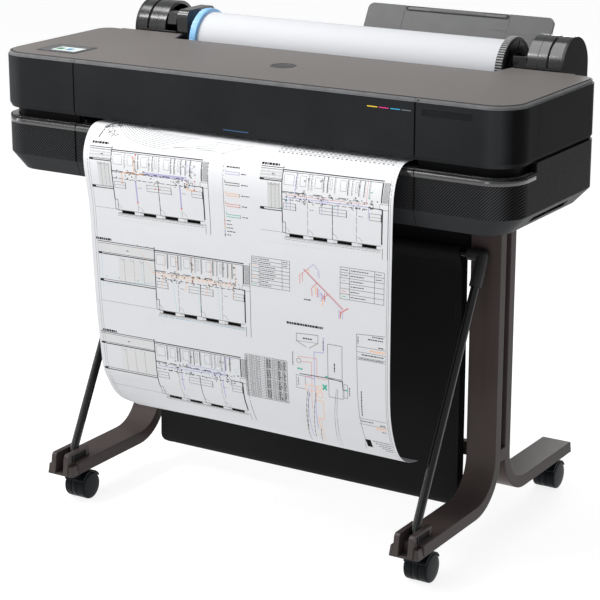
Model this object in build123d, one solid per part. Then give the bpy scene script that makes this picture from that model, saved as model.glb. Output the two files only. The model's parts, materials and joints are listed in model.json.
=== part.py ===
from build123d import *
import math
import os

# Large format plotter: a 24 inch roll plotter on a wheeled stand with a fabric catch basket.
# Millimetres. +Z up, +X to the operator's right, the front faces -Y.
# The origin lies on the floor, under the middle of the object's outline.
# Places front to back are given as a depth: the distance behind the front face of the body.

# ---- driving dimensions -------------------------------------------------------------------
FRONT_Y = -245.5          # y of the body's front face
BODY_HALF = 506.5         # half of the body's width
BODY_DEPTH = 319.0        # depth of the main body
REAR_DEPTH = 440.0        # depth of the narrower roll module behind it
REAR_HALF = 436.0
WALL = 3.0                # moulded cover wall
CORNER_FRONT = 55.0       # plan radius of the front corners
CORNER_REAR = 30.0
SEAM_X = 334.0            # seams between the front panel and the corner covers
SEAM_GAP = 0.5            # half of the gap at those seams

UPPER_BOTTOM = 716.0
UPPER_BEVEL = 7.0
RIM_BOTTOM = 808.4
RIM_TOP = 813.7
RIM_INSET = 3.0
SKIN_TOP = 815.0
SKIN_THICK = 2.8
LOWER_TOP = 715.2         # side panels of the lower body
SLOT_SILL = 700.0         # top of the sill under the paper slot
SLOT_WRAP = 87.0          # how far the slot wraps around the corners
DOOR_PIVOT_D = 4.3
DOOR_PIVOT_Z = 811.0
DOOR_PIN_R = 1.3
DISPLAY_X = -407.5
DISPLAY_D = 77.5
DISPLAY_TOP = 815.4
GLASS_TOP = 815.6
BEVEL_TOP = 634.0
BODY_BOTTOM = 606.0
BEVEL_SIDE = 26.0
BEVEL_FRONT = 13.0

ROLL_WIDTH = 610.0        # 24 inch media
ROLL_X = 12.0             # centre of the media
ROLL_D = 366.0
ROLL_Z = 801.5
ROLL_R = 50.5
CORE_R = 26.0
FLANGE_R = 57.0
SPINDLE_R = 12.0
JOURNAL_R = 8.0
DECK_TOP = 785.0
CRADLE_R = 62.0

HOLDER_D = 374.0          # centre of the roll holders' arch
HOLDER_Z = 816.0
HOLDER_R = 50.5
HOLDER_END = 437.0
HOLDER_ARCH = 370.0       # inner end of the arch
HOLDER_SHELF = 345.0      # inner end of the shelf

LEG_X = 354.0
LEG_WIDTH = 56.0
LEG_THICK = 20.0
POST_FRONT_D = 224.0
POST_REAR_D = 262.0
FOOT_FRONT = -31.0
FOOT_REAR = 545.0
FOOT_TOP = 84.0
FOOT_BOTTOM = 62.0
BLOCK_FRONT = -54.0
TOE_FRONT = -52.0
TOE_TOP = 80.0
TOE_DRAFT = 9.0
FIN_TOP = 102.0

ROD_R = 8.0
PIVOT_D = -12.0
PIVOT_Z = 92.0
BAR_D = 212.0
BAR_Z = 514.0
REAR_BAR_D = 232.0
REAR_BAR_Z = 592.0        # the fixed bar sits just under the body
BASKET_BAR_R = 7.0
ELBOW_R = 11.0
CLOTH_HALF = 316.0
CLOTH_TAB_HALF = 325.0    # the rear cloth reaches the posts above the swinging bar
CLOTH_BOTTOM = 52.0
CLOTH_THICK = 3.0

WHEEL_R = 25.0
WHEEL_WIDTH = 15.0
WHEEL_GAP = 12.0
CASTER_TRAIL = 18.0
CASTER_FRONT_D = -5.0
CASTER_REAR_D = 527.0
AXLE_R = 4.0
FIT = 0.05                # radial clearance of running fits

PAPER_THICK = 0.6
FEED_D = 190.0
FEED_Z = 694.8
FEED_R = 12.0
PINCH_R = 6.0
PLATE_LEFT = -400.0       # inner steel plates that carry the mechanism
PLATE_RIGHT = 478.0
PLATE_THICK = 2.0
BELT_Z = 760.0
BELT_D = 179.0
PULLEY_R = 9.0
RAIL_D = 160.0
RAIL_Z = 735.0
RAIL_R = 6.0
IDLER_X = -384.0
DRIVE_X = 450.0
FEED_MOTOR_D = 252.0
FEED_MOTOR_Z = 652.0
FEED_PULLEY_R = 24.0
PINION_R = 8.0

TRAY_LEFT = -20.0
TRAY_RIGHT = 350.0
TRAY_HINGE_D = 431.0
TRAY_HINGE_Z = 791.0
TRAY_LEAN = 29.0
TRAY_LENGTH = 98.0
TRAY_THICK = 5.0
EXT_LEFT = 56.0           # the pull-out extension in the tray
EXT_RIGHT = 265.0
EXT_LENGTH = 76.0

# ---- helpers --------------------------------------------------------------------------------
def y_at(depth):
    return FRONT_Y + depth


def block(x0, x1, d0, d1, z0, z1):
    """A box between two depths, in the object's own axes."""
    centre = Pos((x0 + x1) / 2, y_at((d0 + d1) / 2), (z0 + z1) / 2)
    return centre * Box(x1 - x0, d1 - d0, z1 - z0)


def rod_x(x0, x1, depth, z, radius):
    return Pos((x0 + x1) / 2, y_at(depth), z) * Rot(0, 90, 0) * Cylinder(radius, x1 - x0)


def rod_y(x, d0, d1, z, radius):
    return Pos(x, y_at((d0 + d1) / 2), z) * Rot(90, 0, 0) * Cylinder(radius, d1 - d0)


def rod_z(x, depth, z0, z1, radius):
    return Pos(x, y_at(depth), (z0 + z1) / 2) * Cylinder(radius, z1 - z0)


def rod_between(start, end, radius):
    """A round bar from one (x, depth, z) point to another."""
    a = Vector(start[0], y_at(start[1]), start[2])
    b = Vector(end[0], y_at(end[1]), end[2])
    axis = b - a
    base = Plane(origin=a, z_dir=axis)
    return base * Pos(0, 0, axis.length / 2) * Cylinder(radius, axis.length)


def profile_x(points, x0, x1, radii=None):
    """Extrude an outline of (depth, z) points along X, with rounded corners where given."""
    outline = Polyline([(x0, y_at(d), z) for d, z in points], close=True)
    face = make_face(outline)
    for index, radius in (radii or {}).items():
        corner = Vector(x0, y_at(points[index][0]), points[index][1])
        vertex = face.vertices().sort_by(lambda v: (Vector(v.X, v.Y, v.Z) - corner).length)[0]
        face = fillet(vertex, radius)
    return extrude(face, amount=x1 - x0, dir=(1, 0, 0))


def plan(half, d0, d1, front_radius, rear_radius, z):
    """The body's outline seen from above, with its own front and rear corner radii."""
    face = Pos(0, y_at((d0 + d1) / 2)) * Rectangle(2 * half, d1 - d0)
    face = fillet(face.vertices().group_by(Axis.Y)[0], front_radius)
    face = fillet(face.vertices().group_by(Axis.Y)[-1], rear_radius)
    return Pos(0, 0, z) * face


def body_prism(inset, z0, z1):
    """A straight slice of the main body, inset from its outer face."""
    face = plan(BODY_HALF - inset, inset, BODY_DEPTH - inset,
                CORNER_FRONT - inset, CORNER_REAR - inset, z0)
    return extrude(face, amount=z1 - z0, dir=(0, 0, 1))


def beside(x0, x1):
    """A tall slab that keeps one stretch of the body's width."""
    return block(x0, x1, -20, BODY_DEPTH + 20, 500, 900)


# ---- body covers ------------------------------------------------------------------------------
def upper_ring():
    """The wall of the upper body, with its bevelled lower edge and its inset rim."""
    bevel = extrude(plan(BODY_HALF, 0, BODY_DEPTH, CORNER_FRONT, CORNER_REAR,
                         UPPER_BOTTOM + UPPER_BEVEL),
                    amount=UPPER_BEVEL, dir=(0, 0, -1), taper=27)
    wall = body_prism(0, UPPER_BOTTOM + UPPER_BEVEL, RIM_BOTTOM)
    rim = body_prism(RIM_INSET, RIM_BOTTOM - 0.01, RIM_TOP)
    hollow = body_prism(5.5, UPPER_BOTTOM - 1, RIM_TOP + 1)
    roll_notch = block(-328, 348.5, 290, 330, 700, 830)
    skin_notch = block(-463, 463, 305, 325, SKIN_TOP - SKIN_THICK - 0.2, 830)
    return bevel + wall + rim - hollow - roll_notch - skin_notch


def front_door(ring):
    """The flap between the two seams, on two pins at its top edge."""
    half = SEAM_X - SEAM_GAP
    flap = ring & block(-half, half, -5, 14, 700, 830)
    stiffener = block(-half + 6, half - 6, 5, 11, UPPER_BOTTOM + 3, UPPER_BOTTOM + 6)
    pins = [rod_x(-half - 2.5, -half + 2, DOOR_PIVOT_D, DOOR_PIVOT_Z, DOOR_PIN_R),
            rod_x(half - 2, half + 2.5, DOOR_PIVOT_D, DOOR_PIVOT_Z, DOOR_PIN_R)]
    return flap + stiffener + pins[0] + pins[1]


def upper_side_cover(ring, side):
    """A corner cover with its floor lip, its ledge under the skin and the door's pin rib."""
    start = SEAM_X + SEAM_GAP
    keep = beside(start, 600) if side > 0 else beside(-600, -start)
    cover = ring & keep
    floor = body_prism(4, UPPER_BOTTOM, UPPER_BOTTOM + 3) - body_prism(24, UPPER_BOTTOM - 1, 730)
    ledge = body_prism(5, SKIN_TOP - SKIN_THICK - 3, SKIN_TOP - SKIN_THICK)
    ledge = ledge - body_prism(14, 800, 830)
    cover = cover + (floor & keep) + (ledge & keep)
    rib_x = sorted((side * start, side * (start + 3)))
    rib = block(rib_x[0], rib_x[1], 2, 30, UPPER_BOTTOM + 1, RIM_TOP - 1.5)
    rib = rib & body_prism(1, 700, 830)
    hole = rod_x(rib_x[0] - 4, rib_x[1] + 4, DOOR_PIVOT_D, DOOR_PIVOT_Z, DOOR_PIN_R + FIT)
    return cover + rib - hole


def lower_ring():
    """The wall of the lower body, drawn in towards its bottom."""
    top = plan(BODY_HALF, 1, BODY_DEPTH, CORNER_FRONT, CORNER_REAR, BEVEL_TOP)
    bottom = plan(BODY_HALF - BEVEL_SIDE, BEVEL_FRONT, BODY_DEPTH - BEVEL_FRONT,
                  CORNER_FRONT - 10, CORNER_REAR - 8, BODY_BOTTOM)
    bevel = Solid.make_loft([bottom.face().outer_wire(), top.face().outer_wire()], ruled=True)
    wall = extrude(top, amount=LOWER_TOP - BEVEL_TOP, dir=(0, 0, 1))
    inner_top = plan(BODY_HALF - WALL, 1 + WALL, BODY_DEPTH - WALL, CORNER_FRONT - WALL,
                     CORNER_REAR - WALL, BEVEL_TOP)
    inner_bottom = plan(BODY_HALF - BEVEL_SIDE - WALL, BEVEL_FRONT + WALL,
                        BODY_DEPTH - BEVEL_FRONT - WALL, CORNER_FRONT - 10 - WALL,
                        CORNER_REAR - 8 - WALL, BODY_BOTTOM)
    hollow = Solid.make_loft([inner_bottom.face().outer_wire(), inner_top.face().outer_wire()],
                             ruled=True)
    core = extrude(inner_top, amount=LOWER_TOP - BEVEL_TOP + 1, dir=(0, 0, 1))
    solid = wall + bevel
    return solid - hollow - core


def slot_cut():
    """The gap of the paper slot, around the front and both corners."""
    return block(-520, 520, -5, SLOT_WRAP, SLOT_SILL, 730)


def sill(x0, x1):
    """The rounded ledge along the bottom of the paper slot."""
    ledge = body_prism(1, SLOT_SILL - 6, SLOT_SILL) - body_prism(15, SLOT_SILL - 7, SLOT_SILL + 1)
    return ledge & block(x0, x1, -5, SLOT_WRAP, SLOT_SILL - 7, SLOT_SILL)


def lower_front_cover(ring):
    half = SEAM_X - SEAM_GAP
    cover = ring & block(-half, half, -5, 60, 600, SLOT_SILL)
    return cover + sill(-half, half)


def lower_side_cover(ring, side):
    start = SEAM_X + SEAM_GAP
    x0, x1 = sorted((side * start, side * 600))
    keep = beside(x0, x1)
    cover = (ring & keep) - slot_cut()
    band = body_prism(15, SLOT_SILL - 2, LOWER_TOP) - body_prism(17.5, 690, 730)
    band = band & block(x0, x1, -5, SLOT_WRAP + 10, 690, 730)
    return cover + sill(x0, x1) + band


def lower_rear_wall(ring):
    half = SEAM_X - SEAM_GAP
    return ring & block(-half, half, 200, 330, 600, 690)


def grip_slot(side):
    """A long finger slot in the bevel of the lower body."""
    x0, x1 = sorted((side * 484, side * 520))
    return block(x0, x1, 98, 232, 614, 624)


def bottom_pan():
    plate = plan(BODY_HALF - BEVEL_SIDE - WALL - 1, BEVEL_FRONT + WALL + 1,
                 BODY_DEPTH - BEVEL_FRONT - WALL - 1, 41, 19, BODY_BOTTOM)
    return extrude(plate, amount=3, dir=(0, 0, 1))


def top_skin():
    """The flat lid, notched at the back for the roll, with a cut-out for the display."""
    bottom = SKIN_TOP - SKIN_THICK
    face = plan(BODY_HALF - 7, 7.8, BODY_DEPTH - 7, CORNER_FRONT - 7, CORNER_REAR - 7, bottom)
    skin = extrude(face, amount=SKIN_THICK, dir=(0, 0, 1))
    skin = skin + block(-462, 462, 290, BODY_DEPTH - 0.5, bottom, SKIN_TOP)
    notch = Polyline((-327, y_at(330)), (-327, y_at(316)), (-312, y_at(271)),
                     (336, y_at(271)), (345, y_at(316)), (345, y_at(330)), close=True)
    notch = Pos(0, 0, SKIN_TOP - 10) * make_face(notch)
    skin = skin - extrude(notch, amount=20, dir=(0, 0, 1))
    return skin - display_block(0.3, 800, 830)


def display_block(grow, z0, z1):
    panel = Rectangle(85 + 2 * grow, 71 + 2 * grow)
    panel = Pos(DISPLAY_X, y_at(DISPLAY_D), z0) * fillet(panel.vertices(), 5)
    return extrude(panel, amount=z1 - z0, dir=(0, 0, 1))


def display_glass(grow, top):
    return block(DISPLAY_X - 38.5 - grow, DISPLAY_X + 38.5 + grow, DISPLAY_D - 31.5 - grow,
                 DISPLAY_D + 31.5 + grow, SKIN_TOP - 0.8, top)


def rear_cover():
    """The hollow rear module under the roll, with the tray's hinge lugs on its deck."""
    bottom = 640.0
    outer = plan(REAR_HALF, BODY_DEPTH + 0.6, REAR_DEPTH, 2, 25, bottom)
    inner = plan(REAR_HALF - WALL, BODY_DEPTH + 3.6, REAR_DEPTH - WALL, 1, 22, bottom + WALL)
    shell = extrude(outer, amount=DECK_TOP - bottom, dir=(0, 0, 1))
    shell = shell - extrude(inner, amount=DECK_TOP - bottom - 2 * WALL, dir=(0, 0, 1))
    shell = shell - rod_x(-323, 347, ROLL_D, ROLL_Z, CRADLE_R + 2.8)
    shell = shell - block(-323, 347, BODY_DEPTH - 5, 345, 700, 800)
    lugs = []
    for x0 in (TRAY_LEFT - 9, TRAY_RIGHT + 1):
        lug = block(x0, x0 + 8, TRAY_HINGE_D - 6, TRAY_HINGE_D + 6, DECK_TOP, TRAY_HINGE_Z + 6)
        lugs.append(lug)
    bores = rod_x(TRAY_LEFT - 12, TRAY_RIGHT + 12, TRAY_HINGE_D, TRAY_HINGE_Z, 2.5 + FIT)
    inlet = block(-410.2, -369.8, REAR_DEPTH - 20, REAR_DEPTH + 5, 679.8, 706.2)
    return shell + lugs[0] + lugs[1] - bores - inlet


def roll_cradle():
    """The trough under the roll, slotted for the media on its way to the feed roller."""
    outer = rod_x(-322, 346, ROLL_D, ROLL_Z, CRADLE_R + 2.5)
    inner = rod_x(-330, 350, ROLL_D, ROLL_Z, CRADLE_R)
    trough = (outer - inner) & block(-330, 350, 290, 440, 700, DECK_TOP)
    slot = block(-300, 330, 300, 353, 730, 762)
    return trough - slot


# ---- roll and its holders ---------------------------------------------------------------------
def arch(x0, x1, radius, z0):
    """A slab with a half-round top, as deep as the roll holder."""
    round_part = rod_x(x0, x1, HOLDER_D, HOLDER_Z, radius)
    base = block(x0, x1, HOLDER_D - radius, HOLDER_D + radius, z0, HOLDER_Z)
    above = block(x0 - 1, x1 + 1, HOLDER_D - 80, HOLDER_D + 80, z0, HOLDER_Z + 80)
    return (round_part & above) + base


def roll_holder(side, shelf_top):
    """A hooded holder, open towards the roll, with the bearing saddle for the spindle."""
    a, b = sorted((side * HOLDER_ARCH, side * HOLDER_END))
    hood = arch(a, b, HOLDER_R, DECK_TOP)
    c, d = sorted((side * (HOLDER_ARCH - 2), side * (HOLDER_END - 8)))
    hood = hood - arch(c, d, HOLDER_R - 6, DECK_TOP - 1)
    slit = sorted((side * 406, side * 411))
    ring_cut = block(slit[0], slit[1], HOLDER_D - 70, HOLDER_D + 70, HOLDER_Z + 2, 900)
    ring_cut = ring_cut - arch(slit[0] - 1, slit[1] + 1, HOLDER_R - 3.5, DECK_TOP)
    hood = hood - ring_cut
    dish = rod_x(side * HOLDER_END - 2, side * HOLDER_END + 2, HOLDER_D, HOLDER_Z - 2, 34)
    hood = hood - dish
    e, f = sorted((side * HOLDER_SHELF, side * HOLDER_ARCH))
    front = block(e, f, HOLDER_D - HOLDER_R, HOLDER_D - HOLDER_R + 8, DECK_TOP, shelf_top)
    rear = block(e, f, HOLDER_D + HOLDER_R - 6, HOLDER_D + HOLDER_R, DECK_TOP, shelf_top)
    g, h = sorted((side * 392, side * 404))
    saddle = block(g, h, ROLL_D - 18, ROLL_D + 18, DECK_TOP, ROLL_Z)
    saddle = saddle - rod_x(g - 1, h + 1, ROLL_D, ROLL_Z, JOURNAL_R + FIT)
    return hood + front + rear + saddle


def drive_housing():
    """The black box beside the left holder, which turns the spindle."""
    box = block(-345, -322, 328, 420, DECK_TOP, 857)
    front_edge = box.edges().filter_by(Axis.X).group_by(Axis.Z)[-1]
    box = fillet(front_edge, 14)
    bore = rod_x(-346, -321, ROLL_D, ROLL_Z, SPINDLE_R + 1.5)
    pin_hole = rod_x(-346, -336, 340, 838, 2.5 + FIT)
    return box - bore - pin_hole


def holder_lever():
    """The wedge-shaped latch lever on the left holder."""
    wedge = profile_x([(327, 830), (333, 851), (350, 851), (352, 826), (335, 824)], -366, -347)
    pin = rod_x(-348, -337, 340, 838, 2.5)
    return wedge + pin


def spindle_rod():
    bar = rod_x(-349, 349, ROLL_D, ROLL_Z, SPINDLE_R)
    journal = rod_x(-414, 414, ROLL_D, ROLL_Z, JOURNAL_R)
    return bar + journal


MEDIA_LEFT = ROLL_X - ROLL_WIDTH / 2
MEDIA_RIGHT = ROLL_X + ROLL_WIDTH / 2


def paper_roll():
    """The wound media on its cardboard core."""
    roll = rod_x(MEDIA_LEFT, MEDIA_RIGHT, ROLL_D, ROLL_Z, ROLL_R)
    return roll - rod_x(MEDIA_LEFT - 1, MEDIA_RIGHT + 1, ROLL_D, ROLL_Z, CORE_R)


def roll_flange(x_face, direction, thick, bore):
    """A stop disc with the hub that centres the core."""
    a, b = sorted((x_face, x_face + direction * thick))
    disc = rod_x(a, b, ROLL_D, ROLL_Z, FLANGE_R)
    rim = disc.edges().filter_by(GeomType.CIRCLE)
    disc = chamfer(rim, 1.2)
    c, d = sorted((x_face - direction * 30, x_face))
    hub = rod_x(c, d, ROLL_D, ROLL_Z, CORE_R - 0.1)
    return disc + hub - rod_x(a - 40, b + 40, ROLL_D, ROLL_Z, bore)


# ---- media path ---------------------------------------------------------------------------------
def printed_sheet():
    """The sheet from the roll, over the platen, out of the slot and down in front."""
    nip_z = FEED_Z + FEED_R + 0.3 + PAPER_THICK / 2
    sag = [(20, 708.6), (-6, 705), (-22, 690), (-32, 661), (-33, 600), (-30, 500), (-24, 380),
           (-16, 290), (2, 238), (26, 205), (60, 184)]
    points = [(372, ROLL_Z - ROLL_R - 1.1), (FEED_D, nip_z), (60, nip_z + 0.6)] + sag
    path = Polyline([(0, y_at(d), z) for d, z in points[:3]])
    drop = Spline([(0, y_at(d), z) for d, z in points[2:]], tangents=[(0, -1, 0), (0, 1, -0.4)])
    line = path + drop
    start = Plane(origin=path @ 0, x_dir=(1, 0, 0), z_dir=(path % 0))
    section = start * Rectangle(ROLL_WIDTH, PAPER_THICK)
    sheet = sweep(section, path=line, transition=Transition.RIGHT)
    return Pos(ROLL_X, 0, 0) * sheet


def platen():
    """The ribbed table under the print zone, on two posts."""
    plate = block(-330, 333, 16.5, 172, 698, 702)
    for index in range(22):
        x = -325 + index * 30
        plate = plate + block(x, x + 3, 18, 170, 701, 706.4)
    for x in (-330, 329):
        plate = plate + block(x, x + 4, 60, 160, 614, 699)
    return plate


def feed_roller():
    roller = rod_x(-392, 440, FEED_D, FEED_Z, FEED_R)
    shaft = rod_x(PLATE_LEFT - 3, PLATE_RIGHT + 4, FEED_D, FEED_Z, 5)
    pulley = rod_x(462, 470, FEED_D, FEED_Z, FEED_PULLEY_R)
    return roller + shaft + pulley


def feed_motor():
    body = rod_x(418, 458, FEED_MOTOR_D, FEED_MOTOR_Z, 22)
    foot = block(420, 456, FEED_MOTOR_D - 20, FEED_MOTOR_D + 20, 614, FEED_MOTOR_Z - 10)
    return body + foot - rod_x(440, 470, FEED_MOTOR_D, FEED_MOTOR_Z, 2.5 + FIT)


def feed_pinion():
    pinion = rod_x(462, 470, FEED_MOTOR_D, FEED_MOTOR_Z, PINION_R)
    return pinion + rod_x(442, 463, FEED_MOTOR_D, FEED_MOTOR_Z, 2.5)


def loop_belt(a, b, radius_a, radius_b, x0, x1):
    """An open belt around two pulleys whose axes lie along X."""
    def hull(extra):
        wrap = rod_x(x0, x1, a[0], a[1], radius_a + extra)
        wrap = wrap + rod_x(x0, x1, b[0], b[1], radius_b + extra)
        across = Vector(0, b[0] - a[0], b[1] - a[1])
        reach = across.length
        base = math.degrees(math.atan2(b[1] - a[1], b[0] - a[0]))
        lean = math.degrees(math.acos((radius_a - radius_b) / reach))
        corners = []
        for centre, radius in ((a, radius_a + extra), (b, radius_b + extra)):
            for sign in (1, -1):
                angle = math.radians(base + sign * lean)
                corners.append((centre[0] + radius * math.cos(angle),
                                centre[1] + radius * math.sin(angle)))
        outline = [corners[0], corners[2], corners[3], corners[1]]
        return wrap + profile_x(outline, x0, x1)
    return hull(1.3) - hull(0.1)


def pinch_rollers():
    """The rubber rollers that press the media on the feed roller, on one shaft."""
    z = FEED_Z + FEED_R + 0.3 + PAPER_THICK + 0.3 + PINCH_R
    group = rod_x(-340, 350, FEED_D, z, 2.5)
    for index in range(8):
        x = -285 + index * 80
        group = group + rod_x(x, x + 34, FEED_D, z, PINCH_R)
    return group


def pinch_bracket():
    """The steel strip that carries the pinch shaft between two cheeks."""
    z = FEED_Z + FEED_R + 0.6 + PAPER_THICK + PINCH_R
    span = (PLATE_LEFT + PLATE_THICK, PLATE_RIGHT - PLATE_THICK)
    strip = block(-343, 353, 196, 212, 724, 726)
    for x in (-343, 350.5):
        cheek = block(x, x + 2.5, 184, 212, 707, 726)
        strip = strip + (cheek - rod_x(x - 1, x + 4, FEED_D, z, 2.5 + FIT))
    for x in (-343, 347):
        strip = strip + block(x, x + 6, 206, 212, 724, 737)
    return strip + block(span[0], span[1], 200, 212, 735, 737)


# ---- print carriage -----------------------------------------------------------------------------
def carriage_rail():
    """The guide shaft, the steel beam behind it, the idler's pin and the cutter's guide."""
    span = (PLATE_LEFT + PLATE_THICK, PLATE_RIGHT - PLATE_THICK)
    shaft = rod_x(span[0], span[1], RAIL_D, RAIL_Z, RAIL_R)
    beam = block(span[0], span[1], 186, 189, 744, 798)
    pin = rod_y(IDLER_X, 175, 187, BELT_Z, 2.5)
    hole = rod_y(DRIVE_X, 180, 195, BELT_Z, 4)
    guide = block(span[0], span[1], 40, 44, 738, 744)
    return shaft + guide + (beam + pin - hole)


def print_carriage():
    """The carriage on its guide shaft, with the print head below it."""
    body = block(378, 466, 62, 172, 724, 798)
    body = fillet(body.edges().filter_by(Axis.Z), 6)
    head = block(386, 458, 78, 146, 713, 725)
    tab = block(400, 440, 171, 174.5, BELT_Z - 14, BELT_Z - 4)
    return body + head + tab - rod_x(370, 470, RAIL_D, RAIL_Z, RAIL_R + FIT)


def pulley(x, bore):
    disc = rod_y(x, BELT_D - 4, BELT_D + 4, BELT_Z, PULLEY_R)
    if bore:
        return disc - rod_y(x, BELT_D - 5, BELT_D + 5, BELT_Z, 2.5 + FIT)
    return disc + rod_y(x, BELT_D, 215, BELT_Z, 2.5)


def drive_belt():
    """The toothed belt that pulls the carriage, as one closed band."""
    def band(radius):
        ends = rod_y(IDLER_X, BELT_D - 3, BELT_D + 3, BELT_Z, radius)
        ends = ends + rod_y(DRIVE_X, BELT_D - 3, BELT_D + 3, BELT_Z, radius)
        return ends + block(IDLER_X, DRIVE_X, BELT_D - 3, BELT_D + 3, BELT_Z - radius,
                            BELT_Z + radius)
    return band(PULLEY_R + 1.3) - band(PULLEY_R + 0.1)


def carriage_motor():
    case = rod_y(DRIVE_X, 194, 240, BELT_Z, 20)
    flange = block(DRIVE_X - 24, DRIVE_X + 24, 189, 194, BELT_Z - 15, BELT_Z + 24)
    return case + flange - rod_y(DRIVE_X, 185, 230, BELT_Z, 2.5 + FIT)


def cutter():
    """The blade carriage, which runs across the sheet on its own guide."""
    shell = block(-350, -322, 34, 52, 716, 750)
    shell = shell - block(-360, -310, 40 - FIT, 44 + FIT, 738 - FIT, 744 + FIT)
    return shell + rod_y(-336, 30, 35, 726, 8)


def service_station():
    """The parking place of the print head, with four caps and a wiper."""
    tub = block(376, 466, 60, 164, 614, 700)
    tub = tub - block(380, 462, 64, 160, 640, 701)
    for index in range(4):
        x = 388 + index * 18
        tub = tub + block(x, x + 12, 84, 140, 640, 711)
    return tub + block(388, 456, 150, 153, 640, 711)


def ink_cartridges():
    """Four cartridges side by side in the left compartment."""
    group = None
    for index in range(4):
        x = -494 + index * 22.5
        case = block(x, x + 20, 60, 250, 724, 800)
        group = case if group is None else group + case
    return group


def ink_bay():
    tub = block(-496, -403, 56, 256, 719.5, 724)
    return tub + block(-496, -403, 250.5, 256, 719.5, 800)


def chassis():
    """The steel base plate with the two upright plates."""
    base = block(-440, 470, 36, 290, 610, 614) + block(460, PLATE_RIGHT, 70, 260, 610, 614)
    holes = {PLATE_LEFT: 1, PLATE_RIGHT: -1}
    for x, step in holes.items():
        a, b = sorted((x, x + step * PLATE_THICK))
        cheek = block(a, b, 40, 290, 630, 800) + block(a, b, 70, 260, 612, 631)
        cheek = cheek - rod_x(a - 2, b + 2, FEED_D, FEED_Z, 5 + FIT)
        base = base + cheek
    return base


def main_board():
    board = block(-220, 60, 216, 296, 622, 624)
    for x, d in ((-214, 222), (-214, 290), (54, 222), (54, 290)):
        board = board + rod_z(x, d, 614, 623, 3)
    chips = ((-180, 240, 34, 34, 4), (-110, 236, 24, 24, 3), (-60, 250, 44, 18, 12),
             (0, 236, 30, 40, 9))
    for x, d, w, depth, height in chips:
        board = board + block(x, x + w, d, d + depth, 624, 624 + height)
    return board


def power_supply():
    case = block(-388, -248, 214, 298, 614, 662)
    return case - block(-380, -256, 222, 290, 655, 663)


def power_inlet():
    body = block(-410, -370, REAR_DEPTH - 18, REAR_DEPTH + 1.5, 680, 706)
    body = body - block(-404, -376, REAR_DEPTH - 14, REAR_DEPTH + 3, 684, 702)
    for x in (-398, -390, -382):
        body = body + block(x - 1, x + 1, REAR_DEPTH - 15, REAR_DEPTH - 3, 690, 696)
    return body


# ---- rear sheet tray ------------------------------------------------------------------------------
def tray_plane():
    """X along the tray, Y up its slope, Z towards the roll."""
    lean = math.radians(TRAY_LEAN)
    return Plane(origin=(0, y_at(TRAY_HINGE_D), TRAY_HINGE_Z), x_dir=(1, 0, 0),
                 z_dir=(0, -math.cos(lean), math.sin(lean)))


def sheet_tray():
    mid = (TRAY_LEFT + TRAY_RIGHT) / 2
    width = TRAY_RIGHT - TRAY_LEFT
    sheet = Pos(mid, TRAY_LENGTH / 2 + 4) * Rectangle(width, TRAY_LENGTH - 8)
    sheet = fillet(sheet.vertices().group_by(Axis.Y)[-1], 11)
    panel = Pos(0, 0, -TRAY_THICK / 2) * extrude(sheet, amount=TRAY_THICK)
    panel = panel + Pos(mid, 4, 0) * Box(width, 10, TRAY_THICK)
    pocket = Pos((EXT_LEFT + EXT_RIGHT) / 2, TRAY_LENGTH - EXT_LENGTH / 2 + 1, 1.4)
    pocket = pocket * Box(EXT_RIGHT - EXT_LEFT, EXT_LENGTH + 2, 2.3)
    panel = tray_plane() * (panel - pocket)
    barrel = rod_x(TRAY_LEFT, TRAY_RIGHT, TRAY_HINGE_D, TRAY_HINGE_Z, 4)
    pin = rod_x(TRAY_LEFT - 9, TRAY_RIGHT + 9, TRAY_HINGE_D, TRAY_HINGE_Z, 2.5)
    return panel + barrel + pin


def tray_extension():
    plate = Pos((EXT_LEFT + EXT_RIGHT) / 2, TRAY_LENGTH - EXT_LENGTH / 2, 1.4)
    plate = plate * Box(EXT_RIGHT - EXT_LEFT - 0.6, EXT_LENGTH - 0.6, 1.9)
    grip = Pos((EXT_LEFT + EXT_RIGHT) / 2, TRAY_LENGTH - 4, 3.0) * Box(110, 5, 2.5)
    return tray_plane() * (plate + grip)


# ---- stand ------------------------------------------------------------------------------------------
def leg_span(side):
    return sorted((side * (LEG_X - LEG_WIDTH / 2), side * (LEG_X + LEG_WIDTH / 2)))


def front_leg(side):
    """A flat post that bends forward into the front foot."""
    d0 = POST_FRONT_D
    d1 = POST_FRONT_D + LEG_THICK
    outline = [(d0, BODY_BOTTOM), (d1, BODY_BOTTOM), (d1, FOOT_BOTTOM), (FOOT_FRONT, FOOT_BOTTOM),
               (FOOT_FRONT, FOOT_TOP), (d0, FOOT_TOP)]
    x0, x1 = leg_span(side)
    return profile_x(outline, x0, x1, {2: 88, 5: 66})


def rear_leg(side):
    """A flat post that bends back into the rear foot."""
    d0 = POST_REAR_D
    d1 = POST_REAR_D + LEG_THICK - 1
    outline = [(d0, BODY_BOTTOM), (d1, BODY_BOTTOM), (d1, FOOT_TOP), (FOOT_REAR - 4, FOOT_TOP - 2),
               (FOOT_REAR, FOOT_BOTTOM), (d0, FOOT_BOTTOM)]
    x0, x1 = leg_span(side)
    return profile_x(outline, x0, x1, {2: 64, 5: 84})


def leg_spacers():
    """The blocks that tie each front post to the rear post behind it."""
    group = None
    for side in (-1, 1):
        x0, x1 = leg_span(side)
        for z in (139, 560):
            tie = block(x0, x1, POST_FRONT_D + LEG_THICK, POST_REAR_D, z, z + 23)
            group = tie if group is None else group + tie
    return group


def cross_brace():
    inner = LEG_X - LEG_WIDTH / 2
    middle = (POST_FRONT_D + LEG_THICK + POST_REAR_D) / 2
    return block(-inner, inner, middle - 7, middle + 7, 139, 163)


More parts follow.
